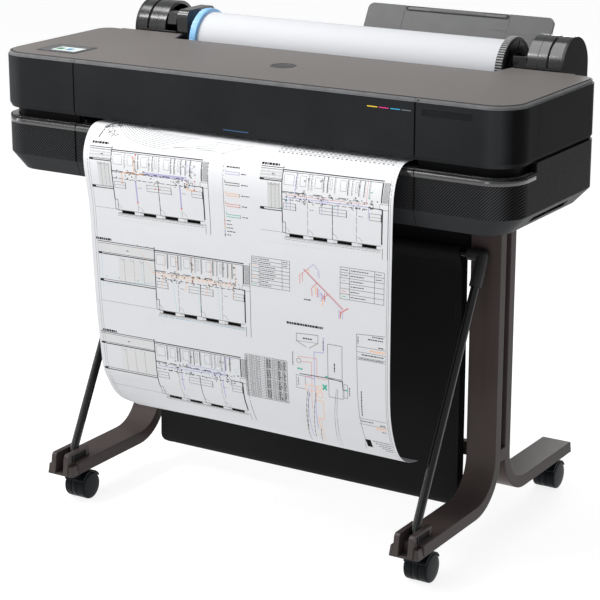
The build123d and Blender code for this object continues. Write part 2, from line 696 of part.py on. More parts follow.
def foot_block(side):
    """The moulded toe of a foot, with two fins that hold the basket's rod."""
    x0, x1 = leg_span(side)
    mid = side * LEG_X
    base = Pos(mid, y_at(FOOT_FRONT), FOOT_BOTTOM) * RectangleRounded(
        LEG_WIDTH, 2 * (FOOT_FRONT - TOE_FRONT), 4)
    toe = extrude(base, amount=TOE_TOP - FOOT_BOTTOM, taper=TOE_DRAFT)
    shape = toe & block(x0, x1, TOE_FRONT, FOOT_FRONT, FOOT_BOTTOM, TOE_TOP)
    outline = [(BLOCK_FRONT, FOOT_BOTTOM + 2), (BLOCK_FRONT + 5, FIN_TOP - 4), (BLOCK_FRONT + 9, FIN_TOP),
               (12, FIN_TOP), (12, FOOT_TOP), (FOOT_FRONT, FOOT_TOP), (FOOT_FRONT, FOOT_BOTTOM + 2)]
    for offset in (-18.5, 8.7):
        shape = shape + profile_x(outline, mid + offset, mid + offset + 9.8)
    shape = shape - block(mid - 8.7, mid + 8.7, BLOCK_FRONT - 1, FOOT_FRONT, FOOT_BOTTOM + 4, FIN_TOP)
    bore = rod_x(mid - 17, mid + 17, PIVOT_D, PIVOT_Z, 3 + FIT)
    pockets = block(mid - 19, mid - 16.5, BLOCK_FRONT + 14, 4, FOOT_TOP + 1, 98)
    pockets = pockets + block(mid + 16.5, mid + 19, BLOCK_FRONT + 14, 4, FOOT_TOP + 1, 98)
    return shape - bore - pockets


# ---- casters ------------------------------------------------------------------------------------------
def caster_socket(x, depth):
    ring = rod_z(x, depth, 55, FOOT_BOTTOM, 13)
    return ring - rod_z(x, depth, 50, FOOT_BOTTOM + 5, 5 + FIT)


def caster_fork(x, depth, trail):
    """The swivelling body between the twin wheels, with its stem, hood and axle."""
    wheel_d = depth + trail
    span = WHEEL_GAP / 2 + WHEEL_WIDTH
    stem = rod_z(x, depth, 40, FOOT_BOTTOM - 0.3, 5)
    web = block(x - 5, x + 5, min(depth, wheel_d) - 4, max(depth, wheel_d) + 4, 20, 48)
    hood = rod_x(x - span, x + span, wheel_d, WHEEL_R, WHEEL_R + 3.5)
    hood = hood - rod_x(x - span - 1, x + span + 1, wheel_d, WHEEL_R, WHEEL_R + 1)
    hood = hood & block(x - span, x + span, wheel_d - 24, wheel_d + 24, 38, 60)
    disc = rod_z(x, depth, 46.5, 54.6, 12)
    disc = disc - rod_x(x - 30, x + 30, wheel_d, WHEEL_R, WHEEL_R + 1)
    axle = rod_x(x - span + 2, x + span - 2, wheel_d, WHEEL_R, AXLE_R)
    web = web & (rod_x(x - 6, x + 6, wheel_d, WHEEL_R, WHEEL_R + 2) + disc)
    return stem + web + hood + disc + axle


def caster_wheels(x, depth, trail):
    wheel_d = depth + trail
    group = None
    for side in (-1, 1):
        a, b = sorted((x + side * WHEEL_GAP / 2, x + side * (WHEEL_GAP / 2 + WHEEL_WIDTH)))
        wheel = rod_x(a, b, wheel_d, WHEEL_R, WHEEL_R)
        wheel = fillet(wheel.edges().filter_by(GeomType.CIRCLE), 2.5)
        wheel = wheel - rod_x(x - 19.2, x + 19.2, wheel_d, WHEEL_R, AXLE_R + FIT)
        group = wheel if group is None else group + wheel
    return group


# ---- basket --------------------------------------------------------------------------------------------
def rod_ends(side):
    bottom = (side * LEG_X, PIVOT_D, PIVOT_Z)
    top = (side * LEG_X, BAR_D, BAR_Z)
    return bottom, top


def basket_rods():
    group = None
    for side in (-1, 1):
        bottom, top = rod_ends(side)
        share = 0.97
        end = tuple(bottom[i] + share * (top[i] - bottom[i]) for i in range(3))
        bar = rod_between(bottom, end, ROD_R - 0.5)
        bar = bar + Pos(bottom[0], y_at(bottom[1]), bottom[2]) * Sphere(ROD_R - 0.5)
        pin = rod_x(bottom[0] - 16.5, bottom[0] + 16.5, PIVOT_D, PIVOT_Z, 3)
        group = bar + pin if group is None else group + bar + pin
    return group


def basket_elbows(rods, bar):
    group = None
    for side in (-1, 1):
        bottom, top = rod_ends(side)
        start = tuple(top[i] + 0.115 * (bottom[i] - top[i]) for i in range(3))
        sleeve = rod_between(start, top, ELBOW_R)
        ball = Pos(top[0], y_at(top[1]), top[2]) * Sphere(ELBOW_R)
        a, b = sorted((side * LEG_X, side * (LEG_X - 26)))
        arm = rod_x(a, b, BAR_D, BAR_Z, ELBOW_R)
        elbow = sleeve + ball + arm
        group = elbow if group is None else group + elbow
    return group - rods - bar


def basket_crossbar():
    return rod_x(-(LEG_X - 10), LEG_X - 10, BAR_D, BAR_Z, BASKET_BAR_R)


def basket_rear_bar():
    inner = LEG_X - LEG_WIDTH / 2
    return rod_x(-inner, inner, REAR_BAR_D, REAR_BAR_Z, BASKET_BAR_R)


def cloth_panel(half, depth, bottom, top):
    return block(-half, half, depth - CLOTH_THICK / 2, depth + CLOTH_THICK / 2, bottom, top)


def basket_front_cloth():
    return cloth_panel(CLOTH_HALF, BAR_D, CLOTH_BOTTOM, BAR_Z - BASKET_BAR_R - 1)


def basket_rear_cloth():
    """The back of the basket, with wide tabs beside the posts above the swinging bar."""
    drop = cloth_panel(CLOTH_HALF, REAR_BAR_D, CLOTH_BOTTOM, BAR_Z)
    tabs = cloth_panel(CLOTH_TAB_HALF, REAR_BAR_D, BAR_Z, REAR_BAR_Z - BASKET_BAR_R - 1)
    return drop + tabs


# ---- assembly -------------------------------------------------------------------------------------------
def build_nodes():
    nodes = {}
    upper = upper_ring()
    lower = lower_ring()
    nodes["front_door"] = front_door(upper)
    nodes["upper_left_cover"] = upper_side_cover(upper, -1) + ink_bay()
    nodes["upper_right_cover"] = upper_side_cover(upper, 1)
    nodes["lower_front_cover"] = lower_front_cover(lower)
    nodes["lower_left_cover"] = lower_side_cover(lower, -1) - grip_slot(-1)
    nodes["lower_right_cover"] = lower_side_cover(lower, 1) - grip_slot(1)
    nodes["bottom_pan"] = bottom_pan()
    nodes["top_skin"] = top_skin()
    nodes["display_bezel"] = display_block(0, 806, DISPLAY_TOP) - display_glass(0.2, 820)
    nodes["display_glass"] = display_glass(0, GLASS_TOP)
    nodes["rear_cover"] = rear_cover() + lower_rear_wall(lower)
    nodes["roll_cradle"] = roll_cradle()
    nodes["roll_holder_left"] = roll_holder(-1, 818) + drive_housing()
    nodes["roll_holder_right"] = roll_holder(1, 834)
    nodes["holder_lever"] = holder_lever()
    nodes["spindle_rod"] = spindle_rod()
    nodes["paper_roll"] = paper_roll()
    nodes["flange_right"] = roll_flange(MEDIA_RIGHT, 1, 15, SPINDLE_R)
    nodes["flange_left"] = roll_flange(MEDIA_LEFT, -1, 14, SPINDLE_R + FIT)
    nodes["printed_sheet"] = printed_sheet()
    nodes["platen"] = platen()
    nodes["feed_roller"] = feed_roller()
    nodes["feed_motor"] = feed_motor()
    nodes["feed_pinion"] = feed_pinion()
    nodes["feed_belt"] = loop_belt((FEED_D, FEED_Z), (FEED_MOTOR_D, FEED_MOTOR_Z),
                                   FEED_PULLEY_R, PINION_R, 463, 469)
    nodes["pinch_rollers"] = pinch_rollers()
    nodes["guide_frame"] = carriage_rail() + pinch_bracket()
    nodes["print_carriage"] = print_carriage()
    nodes["idler_pulley"] = pulley(IDLER_X, True)
    nodes["drive_pulley"] = pulley(DRIVE_X, False)
    nodes["drive_belt"] = drive_belt()
    nodes["carriage_motor"] = carriage_motor()
    nodes["cutter"] = cutter()
    nodes["service_station"] = service_station()
    nodes["ink_cartridges"] = ink_cartridges()
    nodes["chassis"] = chassis()
    nodes["main_board"] = main_board()
    nodes["power_supply"] = power_supply()
    nodes["power_inlet"] = power_inlet()
    nodes["sheet_tray"] = sheet_tray()
    nodes["tray_extension"] = tray_extension()
    nodes["front_legs"] = front_leg(-1) + front_leg(1)
    nodes["rear_legs"] = rear_leg(-1) + rear_leg(1) + leg_spacers()
    nodes["cross_brace"] = cross_brace()
    nodes["foot_blocks"] = foot_block(-1) + foot_block(1)
    casters = {"front_left": (-LEG_X, CASTER_FRONT_D, CASTER_TRAIL),
               "front_right": (LEG_X, CASTER_FRONT_D, CASTER_TRAIL),
               "rear_left": (-LEG_X, CASTER_REAR_D, -CASTER_TRAIL),
               "rear_right": (LEG_X, CASTER_REAR_D, -CASTER_TRAIL)}
    sockets = None
    for place, (x, depth, trail) in casters.items():
        socket = caster_socket(x, depth)
        sockets = socket if sockets is None else sockets + socket
        nodes["caster_fork_" + place] = caster_fork(x, depth, trail)
        nodes["caster_wheels_" + place] = caster_wheels(x, depth, trail)
    nodes["caster_sockets"] = sockets
    rods = basket_rods()
    bar = basket_crossbar()
    nodes["basket_rods"] = rods
    nodes["basket_crossbar"] = bar
    nodes["basket_elbows"] = basket_elbows(rods, bar)
    nodes["basket_rear_bar"] = basket_rear_bar()
    nodes["basket_front_cloth"] = basket_front_cloth()
    nodes["basket_rear_cloth"] = basket_rear_cloth()
    return nodes


def main():
    os.makedirs("parts", exist_ok=True)
    nodes = build_nodes()
    print(len(nodes), "nodes")
    for name, shape in nodes.items():
        export_step(shape, f"parts/{name}.step")


if __name__ == "__main__":
    main()
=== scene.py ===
import json
import math
import random

import bmesh
import bpy
import numpy as np
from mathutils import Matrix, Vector


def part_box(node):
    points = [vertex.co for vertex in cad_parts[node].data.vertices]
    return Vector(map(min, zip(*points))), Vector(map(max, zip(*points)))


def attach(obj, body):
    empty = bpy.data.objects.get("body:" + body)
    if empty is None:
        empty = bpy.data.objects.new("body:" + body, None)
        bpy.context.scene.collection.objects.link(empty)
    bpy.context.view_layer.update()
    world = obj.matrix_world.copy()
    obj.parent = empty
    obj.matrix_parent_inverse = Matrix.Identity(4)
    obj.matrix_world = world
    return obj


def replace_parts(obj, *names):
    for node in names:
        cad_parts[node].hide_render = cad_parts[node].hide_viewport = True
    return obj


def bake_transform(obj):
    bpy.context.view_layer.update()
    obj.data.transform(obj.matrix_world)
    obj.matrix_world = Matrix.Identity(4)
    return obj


# Looks of the large format plotter. Places are in millimetres, as (x, depth, z), where depth is
# the distance behind the body's front face, and are turned into the frame's metres by point().

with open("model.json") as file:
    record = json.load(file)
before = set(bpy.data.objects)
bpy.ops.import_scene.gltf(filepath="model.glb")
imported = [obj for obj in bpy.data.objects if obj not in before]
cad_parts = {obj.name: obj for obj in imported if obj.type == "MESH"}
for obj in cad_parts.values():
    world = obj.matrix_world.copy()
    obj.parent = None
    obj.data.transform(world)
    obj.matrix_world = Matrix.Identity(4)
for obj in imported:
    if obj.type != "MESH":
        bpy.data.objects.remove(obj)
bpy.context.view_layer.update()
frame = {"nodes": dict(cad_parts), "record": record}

MM = 0.001
FRONT_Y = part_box("front_door")[0].y


def point(x, depth, z):
    return Vector((x * MM, FRONT_Y + depth * MM, z * MM))


def span(node):
    """The low and the high corner of a CAD node."""
    return [(corner.x / MM, (corner.y - FRONT_Y) / MM, corner.z / MM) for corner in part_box(node)]


def axis_of(node):
    """The depth and height of the middle of a CAD node that runs along X."""
    low, high = span(node)
    return (low[1] + high[1]) / 2, (low[2] + high[2]) / 2


ROLL_LEFT, ROLL_RIGHT = (corner[0] for corner in span("paper_roll"))
ROLL_D, ROLL_Z = axis_of("paper_roll")
LID_TOP = span("top_skin")[1][2]
LEG_HALF = 28.0
LEG_X = span("front_legs")[1][0] - LEG_HALF


# ---- materials ------------------------------------------------------------------------------------
class Finish:
    """A procedural material: one principled shader, and short calls that add detail to it."""

    def __init__(self, name, roughness=0.5, metallic=0.0, coat=0.0, sheen=0.0, specular=0.5):
        self.name = name
        self.material = bpy.data.materials.new(name)
        self.material.use_nodes = True
        self.tree = self.material.node_tree
        self.shader = self.tree.nodes["Principled BSDF"]
        self.set({"Roughness": roughness, "Metallic": metallic, "Coat Weight": coat, "Coat Roughness": 0.12,
                  "Sheen Weight": sheen, "Specular IOR Level": specular})
        self.coords = self.tree.nodes.new("ShaderNodeTexCoord").outputs["Object"]
        self.relief = None

    def set(self, values, node=None):
        """Give sockets of a node, or of the shader, their values or links."""
        for key, value in values.items():
            socket = (node or self.shader).inputs[key]
            if hasattr(value, "is_output"):
                self.tree.links.new(value, socket)
            else:
                socket.default_value = value

    def node(self, kind, values=None, **settings):
        made = self.tree.nodes.new(kind)
        for key, value in settings.items():
            setattr(made, key, value)
        self.set(values or {}, made)
        return made

    def noise(self, scale, detail=3.0, stretch=(1, 1, 1)):
        spread = self.node("ShaderNodeMapping", {"Vector": self.coords, "Scale": stretch})
        values = {"Vector": spread.outputs[0], "Scale": scale, "Detail": detail}
        return self.node("ShaderNodeTexNoise", values).outputs["Fac"]

    def axis(self, name):
        return self.node("ShaderNodeSeparateXYZ", {0: self.coords}).outputs[name]

    def maths(self, operation, a, b=0.0):
        return self.node("ShaderNodeMath", {0: a, 1: b}, operation=operation).outputs[0]

    def stripes(self, along, pitch):
        """A smooth 0 to 1 wave of that pitch, in metres, along a coordinate."""
        wave = self.maths("SINE", self.maths("MULTIPLY", along, 2 * math.pi / pitch))
        return self.node("ShaderNodeMath", {0: wave, 1: 0.5, 2: 0.5}, operation="MULTIPLY_ADD").outputs[0]

    def ramp(self, factor, stops):
        made = self.node("ShaderNodeValToRGB", {"Fac": factor})
        elements = made.color_ramp.elements
        while len(elements) < len(stops):
            elements.new(0.5)
        for element, (position, colour) in zip(elements, stops):
            element.position = position
            element.color = (*colour, 1.0)
        return made.outputs["Color"]

    def greys(self, factor, stops):
        """A ramp whose stops are single greys."""
        return self.ramp(factor, [(position, (grey,) * 3) for position, grey in stops])

    def mix(self, factor, a, b, mode="MIX"):
        a, b = (value if hasattr(value, "is_output") else (*value, 1.0) for value in (a, b))
        values = {0: factor, 6: a, 7: b}
        return self.node("ShaderNodeMix", values, data_type="RGBA", blend_type=mode).outputs[2]

    def colour(self, output):
        self.set({"Base Color": output})
        return self

    def facing_shade(self, colour, stops):
        """Painted light and shade: that colour times a grey that depends on how far the surface faces
        sideways.
        """
        normal = self.node("ShaderNodeNewGeometry").outputs["Normal"]
        sideways = self.maths("ABSOLUTE", self.node("ShaderNodeSeparateXYZ", {0: normal}).outputs["X"])
        return self.mix(1.0, colour, self.greys(sideways, stops), "MULTIPLY")

    def mottle(self, colour, spread=0.12, scale=60.0):
        """The base colour, a little lighter and darker from place to place."""
        low = tuple(c * (1 - spread) for c in colour)
        high = tuple(min(1.0, c * (1 + spread)) for c in colour)
        return self.ramp(self.noise(scale), [(0.3, low), (0.7, high)])

    def roughness(self, low, high, scale):
        values = {"Value": self.noise(scale), "To Min": low, "To Max": high}
        self.set({"Roughness": self.node("ShaderNodeMapRange", values).outputs[0]})

    def bump(self, height, distance):
        values = {"Height": height, "Distance": distance, "Strength": 1.0}
        if self.relief is not None:
            values["Normal"] = self.relief
        self.shape_normal(self.node("ShaderNodeBump", values))

    def soft_edges(self, radius):
        self.shape_normal(self.node("ShaderNodeBevel", {"Radius": radius}, samples=4))

    def shape_normal(self, made):
        """Shade with the normal that a bump or bevel node gives out."""
        self.relief = made.outputs[0]
        self.set({"Normal": self.relief})


def moulded(name, colour, rough=0.5, grain=0.00006, spread=0.10, coat=0.0, edge=0.0006, specular=0.35):
    """Injection-moulded plastic with a fine spark-eroded grain."""
    made = Finish(name, coat=coat, specular=specular)
    made.soft_edges(edge)
    made.colour(made.mottle(colour, spread, 35.0))
    made.roughness(rough - 0.06, rough + 0.06, 220.0)
    made.bump(made.noise(1500.0, 2.0), grain)
    return made


# Painted light and shade of the body by how far its surface faces sideways (lighter round the front corners,
# darker on the sides), and where its finishes and its painted shade in the paper slot change, in metres.
BODY_FACING_SHADE = [(0.0, 0.88), (0.25, 1.40), (0.52, 1.40), (0.80, 0.22), (0.94, 0.18), (0.995, 0.24)]
RIM_Z = 0.8083
BEVEL_TOP = 0.6345
RIBS_TOP = 0.6890
SILL_TOP = 0.7003
RIBS_BACK = 0.048
RECESS_BACK = 0.0865


def cover_plastic():
    """Blue-black plastic, with the lighter rim that runs round the top of the body."""
    made = Finish("cover_plastic", specular=0.03)
    made.soft_edges(0.0009)
    # Painted light and shade: the body's colour is lighter round the front corners and darker on its sides.
    body = made.facing_shade(made.mottle((0.0228, 0.0237, 0.0253), 0.14, 9.0), BODY_FACING_SHADE)
    rim = made.mottle((0.205, 0.208, 0.212), 0.10, 60.0)
    made.colour(made.mix(made.maths("GREATER_THAN", made.axis("Z"), RIM_Z), body, rim))
    made.roughness(0.40, 0.52, 160.0)
    made.bump(made.noise(1300.0, 2.0), 0.00009)
    return made


def ribbed_plastic():
    """The lower covers: diagonal ribs on the front and round the corners, smooth elsewhere, with painted
    shade in the rib troughs and near-black painted shade inside the paper slot above the sill.
    """
    made = Finish("textured_plastic", specular=0.07)
    made.soft_edges(0.0009)
    behind = made.maths("SUBTRACT", made.axis("Y"), FRONT_Y)
    ribs = made.stripes(made.maths("SUBTRACT", made.axis("X"), made.axis("Z")), 0.0036 * math.sqrt(2))
    upper = made.maths("GREATER_THAN", made.axis("Z"), BEVEL_TOP)
    above_sill = made.maths("GREATER_THAN", made.axis("Z"), SILL_TOP)
    ribbed = made.maths("MULTIPLY", upper, made.maths("LESS_THAN", behind, RIBS_BACK))
    ribbed = made.maths("MULTIPLY", ribbed, made.maths("LESS_THAN", made.axis("Z"), RIBS_TOP))
    # Painted shade: inside the paper slot, above the sill, the cover is coloured near black.
    recess_shade = made.maths("MULTIPLY", above_sill, made.maths("LESS_THAN", behind, RECESS_BACK))
    plain = made.mottle((0.0170, 0.0177, 0.0190), 0.12, 20.0)
    # Painted light and shade on the ribs: dark in their troughs, lighter on their crests.
    shade = made.ramp(ribs, [(0.15, (0.0052, 0.0055, 0.0062)), (0.85, (0.035, 0.036, 0.038))])
    bevel = made.mottle((0.028, 0.029, 0.031), 0.08, 20.0)
    # The same painted light and shade by facing as on the upper covers.
    wall = made.facing_shade(made.mix(ribbed, plain, shade), BODY_FACING_SHADE)
    made.colour(made.mix(recess_shade, made.mix(upper, bevel, wall), (0.0008, 0.0008, 0.0009)))
    made.roughness(0.42, 0.52, 140.0)
    made.bump(made.maths("MULTIPLY", ribs, ribbed), 0.0007)
    side = made.maths("SUBTRACT", upper, ribbed)
    made.bump(made.maths("MULTIPLY", made.stripes(made.axis("Z"), 0.004), side), 0.00010)
    made.bump(made.noise(1300.0, 2.0), 0.00006)
    return made


def lid_plastic():
    """Warm grey plastic with a fine diagonal weave."""
    made = Finish("lid_plastic", specular=0.3)
    made.soft_edges(0.0006)
    one = made.stripes(made.maths("ADD", made.axis("X"), made.axis("Y")), 0.0052)
    two = made.stripes(made.maths("SUBTRACT", made.axis("X"), made.axis("Y")), 0.0104)
    weave = made.maths("ADD", made.maths("MULTIPLY", one, 0.75), made.maths("MULTIPLY", two, 0.25))
    fine = made.ramp(weave, [(0.1, (0.129, 0.117, 0.111)), (0.9, (0.228, 0.209, 0.200))])
    soft = made.greys(made.noise(3.0, 1.0), [(0.3, 0.90), (0.7, 1.0)])
    made.colour(made.mix(1.0, fine, soft, "MULTIPLY"))
    made.roughness(0.42, 0.55, 200.0)
    made.bump(weave, 0.00022)
    made.bump(made.noise(1500.0, 2.0), 0.00004)
    return made


def coated_media(name, rough=0.62, specular=0.35):
    """Coated paper's slight tooth, still without its colour."""
    made = Finish(name, specular=specular)
    made.roughness(rough - 0.05, rough + 0.05, 90.0)
    made.bump(made.noise(2200.0, 3.0), 0.000015)
    return made


def ink_finish(name, colour):
    made = coated_media("ink_" + name, 0.7, 0.05)
    return made.colour(made.mottle(colour, 0.012, 25.0))


def sheet_finish():
    """The printed sheet, with painted light: whiter towards its top, where it comes over the slot, and greyer
    lower down.
    """
    made = coated_media("sheet_paper")
    # Painted light: the paper's colour is lightened with height, most of all over the top few centimetres.
    height = made.node("ShaderNodeMapRange", {"Value": made.axis("Z"), "From Min": 0.30, "From Max": 0.70})
    base = made.ramp(height.outputs[0], [(0.0, (0.625, 0.63, 0.65)), (0.5, (0.645, 0.65, 0.67)),
                                         (0.80, (0.70, 0.705, 0.725)), (1.0, (0.91, 0.915, 0.93))])
    fibre = made.greys(made.noise(25.0), [(0.3, 0.985), (0.7, 1.0)])
    return made.colour(made.mix(1.0, base, fibre, "MULTIPLY"))


def wound_paper():
    """The roll: the ends show the edges of the turns, round a card core."""
    made = Finish("wound_paper", specular=0.35)
    depth = made.maths("SUBTRACT", made.axis("Y"), FRONT_Y + ROLL_D * MM)
    height = made.maths("SUBTRACT", made.axis("Z"), ROLL_Z * MM)
    squares = made.maths("ADD", made.maths("MULTIPLY", depth, depth), made.maths("MULTIPLY", height, height))
    turns = made.stripes(made.maths("SQRT", squares), 0.0008)
    core = made.maths("LESS_THAN", squares, 0.0292 ** 2)
    sheet = made.ramp(turns, [(0.2, (0.61, 0.62, 0.645)), (0.8, (0.66, 0.67, 0.695))])
    card = made.mottle((0.42, 0.31, 0.20), 0.2, 400.0)
    made.colour(made.mix(core, sheet, card))
    made.roughness(0.55, 0.65, 60.0)
    made.bump(made.noise(900.0, 3.0), 0.00002)
    return made


def fabric(name, colour):
    """Plain-woven polyester: a warp and a weft thread in every 1.8 mm."""
    made = Finish(name, sheen=0.05, specular=0.10)
    made.set({"Sheen Roughness": 0.6})
    weave = made.maths("SUBTRACT", made.stripes(made.axis("X"), 0.0018), made.stripes(made.axis("Z"), 0.0018))
    weave = made.maths("ABSOLUTE", weave)
    fine = made.ramp(weave, [(0.0, tuple(c * 0.6 for c in colour)), (1.0, tuple(c * 1.3 for c in colour))])
    soft = made.greys(made.noise(12.0, 2.0), [(0.3, 0.82), (0.7, 1.0)])
    made.colour(made.mix(1.0, fine, soft, "MULTIPLY"))
    made.roughness(0.82, 0.95, 300.0)
    made.bump(weave, 0.00025)
    return made


def painted(name, colour, rough=0.4, coat=0.0, peel=0.00008, edge=0.0012, specular=0.3, stops=None):
    """Powder coat: a slight orange peel over the metal. Stops give it painted light and shade by how it
    faces.
    """
    made = Finish(name, coat=coat, specular=specular)
    made.soft_edges(edge)
    powder = made.mottle(colour, 0.10, 7.0)
    made.colour(made.facing_shade(powder, stops) if stops else powder)
    made.roughness(rough - 0.05, rough + 0.05, 90.0)
    made.bump(made.noise(420.0, 2.0), peel)
    return made


def metal(name, colour, rough, stretch=(1, 1, 1)):
    made = Finish(name, metallic=1.0)
    made.colour(made.mottle(colour, 0.08, 18.0))
    made.roughness(rough - 0.06, rough + 0.08, 70.0)
    made.bump(made.noise(700.0, 2.0, stretch), 0.00003)
    return made


def display_glass():
    made = Finish("display", roughness=0.12, coat=0.6)
    made.colour(made.mottle((0.012, 0.012, 0.014), 0.2, 50.0))
    made.bump(made.noise(60.0, 1.0), 0.000004)
    return made


def circuit_board():
    made = Finish("board", roughness=0.35, coat=0.3)
    tracks = made.stripes(made.maths("ADD", made.axis("X"), made.axis("Y")), 0.003)
    made.colour(made.ramp(tracks, [(0.5, (0.012, 0.10, 0.045)), (0.62, (0.02, 0.16, 0.07))]))
    made.bump(tracks, 0.00003)
    return made


def make_finishes():
    """One finish for each material slot of the record."""
    made = [
        cover_plastic(), ribbed_plastic(), lid_plastic(), display_glass(), circuit_board(),
        moulded("gloss_black", (0.018, 0.018, 0.019), 0.34, 0.00002, coat=0.3),
        moulded("holder_plastic", (0.0080, 0.0080, 0.0084), 0.20, 0.000004, coat=0.5, edge=0.0010,
                specular=0.80),
        moulded("flange_blue", (0.27, 0.54, 0.86), 0.42, 0.00003, 0.06),
        moulded("flange_black", (0.0045, 0.0045, 0.0050), 0.38, 0.00003),
        moulded("tray_plastic", (0.101, 0.101, 0.103), 0.46, 0.00010, 0.06),
        moulded("inner_plastic", (0.012, 0.012, 0.013)),
        moulded("ink_plastic", (0.10, 0.10, 0.11), 0.4),
        moulded("rubber_black", (0.022, 0.022, 0.022), 0.75, 0.00012),
        moulded("foot_plastic", (0.050, 0.0385, 0.0370), 0.36, 0.00010, edge=0.0020, specular=0.25),
        moulded("caster_plastic", (0.0050, 0.0066, 0.0084), 0.36, 0.00008, 0.12, edge=0.0010, specular=0.10),
        metal("steel_plate", (0.55, 0.56, 0.57), 0.42),
        metal("steel_shaft", (0.66, 0.66, 0.67), 0.24, (1, 30, 30)),
        metal("supply_case", (0.62, 0.63, 0.65), 0.38),
        painted("motor_case", (0.06, 0.06, 0.065), 0.45),
        painted("tube_paint", (0.0020, 0.0022, 0.0026), 0.12, 0.35, 0.00001, specular=0.35),
        # Painted light and shade: the stand is lighter where it faces forward, back, up or down, and darker
        # where it faces sideways.
        painted("stand_paint", (0.0545, 0.0415, 0.0400), 0.34, edge=0.0030, specular=0.10,
                stops=[(0.0, 1.34), (0.6, 1.25), (0.9, 0.82), (1.0, 0.82)]),
        fabric("basket_fabric", (0.0092, 0.0095, 0.0101)),
    ]
    finishes = {finish.name: finish.material for finish in made}
    finishes["media_paper"] = wound_paper().material
    return finishes


FINISH = make_finishes()
ELBOW_FINISH = moulded("elbow_plastic", (0.022, 0.022, 0.023), 0.34, 0.00004).material


def paint_frame():
    """Every carried-over CAD node gets the finish of its material slot."""
    for part in frame["record"]["subparts"]:
        obj = frame["nodes"][part["node"]]
        slot = part["material_slot"]
        obj.data.materials.clear()
        obj.data.materials.append(ELBOW_FINISH if part["node"] == "basket_elbows" else FINISH[slot])


paint_frame()


def round_edges(node, width):
    """Ease the sharp edges of a carried-over node with a bevel modifier."""
    made = frame["nodes"][node].modifiers.new("eased", "BEVEL")
    made.width = width
    made.segments = 3
    made.limit_method = "ANGLE"
    made.angle_limit = math.radians(50)
    made.use_clamp_overlap = True
    made.harden_normals = True


round_edges("front_legs", 0.0024)
round_edges("rear_legs", 0.0024)
round_edges("foot_blocks", 0.0009)


# ---- mesh helpers ---------------------------------------------------------------------------------
def place_in_scene(name, data):
    obj = bpy.data.objects.new(name, data)
    bpy.context.scene.collection.objects.link(obj)
    return obj


class Shape:
    """The vertices and faces of one piece."""

    def __init__(self):
        self.verts, self.faces = [], []

    def loft(self, rings, closed=False):
        """Skin a row of rings with the same number of points. A closed row joins up with itself."""
        count, size, base = len(rings), len(rings[0]), len(self.verts)
        self.verts += [tuple(p) for ring in rings for p in ring]
        for r in range(count if closed else count - 1):
            a, b = base + r * size, base + (r + 1) % count * size
            self.faces += [(a + i, a + (i + 1) % size, b + (i + 1) % size, b + i) for i in range(size)]
        if not closed:
            self.faces.append(tuple(reversed(range(base, base + size))))
            self.faces.append(tuple(range(base + (count - 1) * size, base + count * size)))

    def bar(self, low, high, bevel=0.4):
        """A block between two (x, depth, z) corners, with its upright and flat edges eased."""
        (x0, d0, z0), (x1, d1, z1) = low, high
        e = min(bevel, (x1 - x0) / 3, (d1 - d0) / 3, (z1 - z0) / 3)
        rings = []
        for z, inset in ((z0, e), (z0 + e, 0), (z1 - e, 0), (z1, e)):
            a, b, c, d = x0 + inset, x1 - inset, d0 + inset, d1 - inset
            corners = [(a + e, c), (b - e, c), (b, c + e), (b, d - e),
                       (b - e, d), (a + e, d), (a, d - e), (a, c + e)]
            rings.append([point(x, depth, z) for x, depth in corners])
        self.loft(rings)

    def turned_x(self, profile, depth, z, steps=64):
        """Turn (x, radius) points about an axis along X."""
        angles = [2 * math.pi * i / steps for i in range(steps)]
        self.loft([[point(x, depth + r * math.sin(a), z + r * math.cos(a)) for x, r in profile]
                   for a in angles], True)

    def turned_z(self, profile, x, depth, steps=96):
        """Turn (radius, z) points about an upright axis."""
        angles = [2 * math.pi * i / steps for i in range(steps)]
        self.loft([[point(x + r * math.cos(a), depth + r * math.sin(a), z) for r, z in profile]
                   for a in angles], True)

    def piece(self, name, slot, body="root", material=None, crease=35):
        mesh = bpy.data.meshes.new(name)
        mesh.from_pydata(self.verts, [], self.faces)
        mesh.validate()
        work = bmesh.new()
        work.from_mesh(mesh)
        bmesh.ops.recalc_face_normals(work, faces=work.faces)
        work.to_mesh(mesh)
        work.free()
        for polygon in mesh.polygons:
            polygon.use_smooth = True
        mesh.set_sharp_from_angle(angle=math.radians(crease))
        mesh.materials.append(material or FINISH[slot])
        obj = place_in_scene(name, mesh)
        if body:
            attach(obj, body)
        return obj

    def trim(self, name, slot, body, colour, *looks, **more):
        """A piece in a moulded finish of its own."""
        return self.piece(name, slot, body, moulded(name, colour, *looks, **more).material)


def rounded(x0, x1, y0, y1, corner, steps):
    """The corner centre and the angle of each point round a rectangle with rounded corners."""
    for x, y, start in ((x1 - corner, y1 - corner, 0), (x0 + corner, y1 - corner, 90),
                        (x0 + corner, y0 + corner, 180), (x1 - corner, y0 + corner, 270)):
        for step in range(steps + 1):
            yield x, y, math.radians(start + 90 * step / steps)


def between(t, t0, t1, a, b):
    """The value at t on the straight line from a, at t0, to b, at t1."""
    return (t1 - t) / (t1 - t0) * a + (t - t0) / (t1 - t0) * b


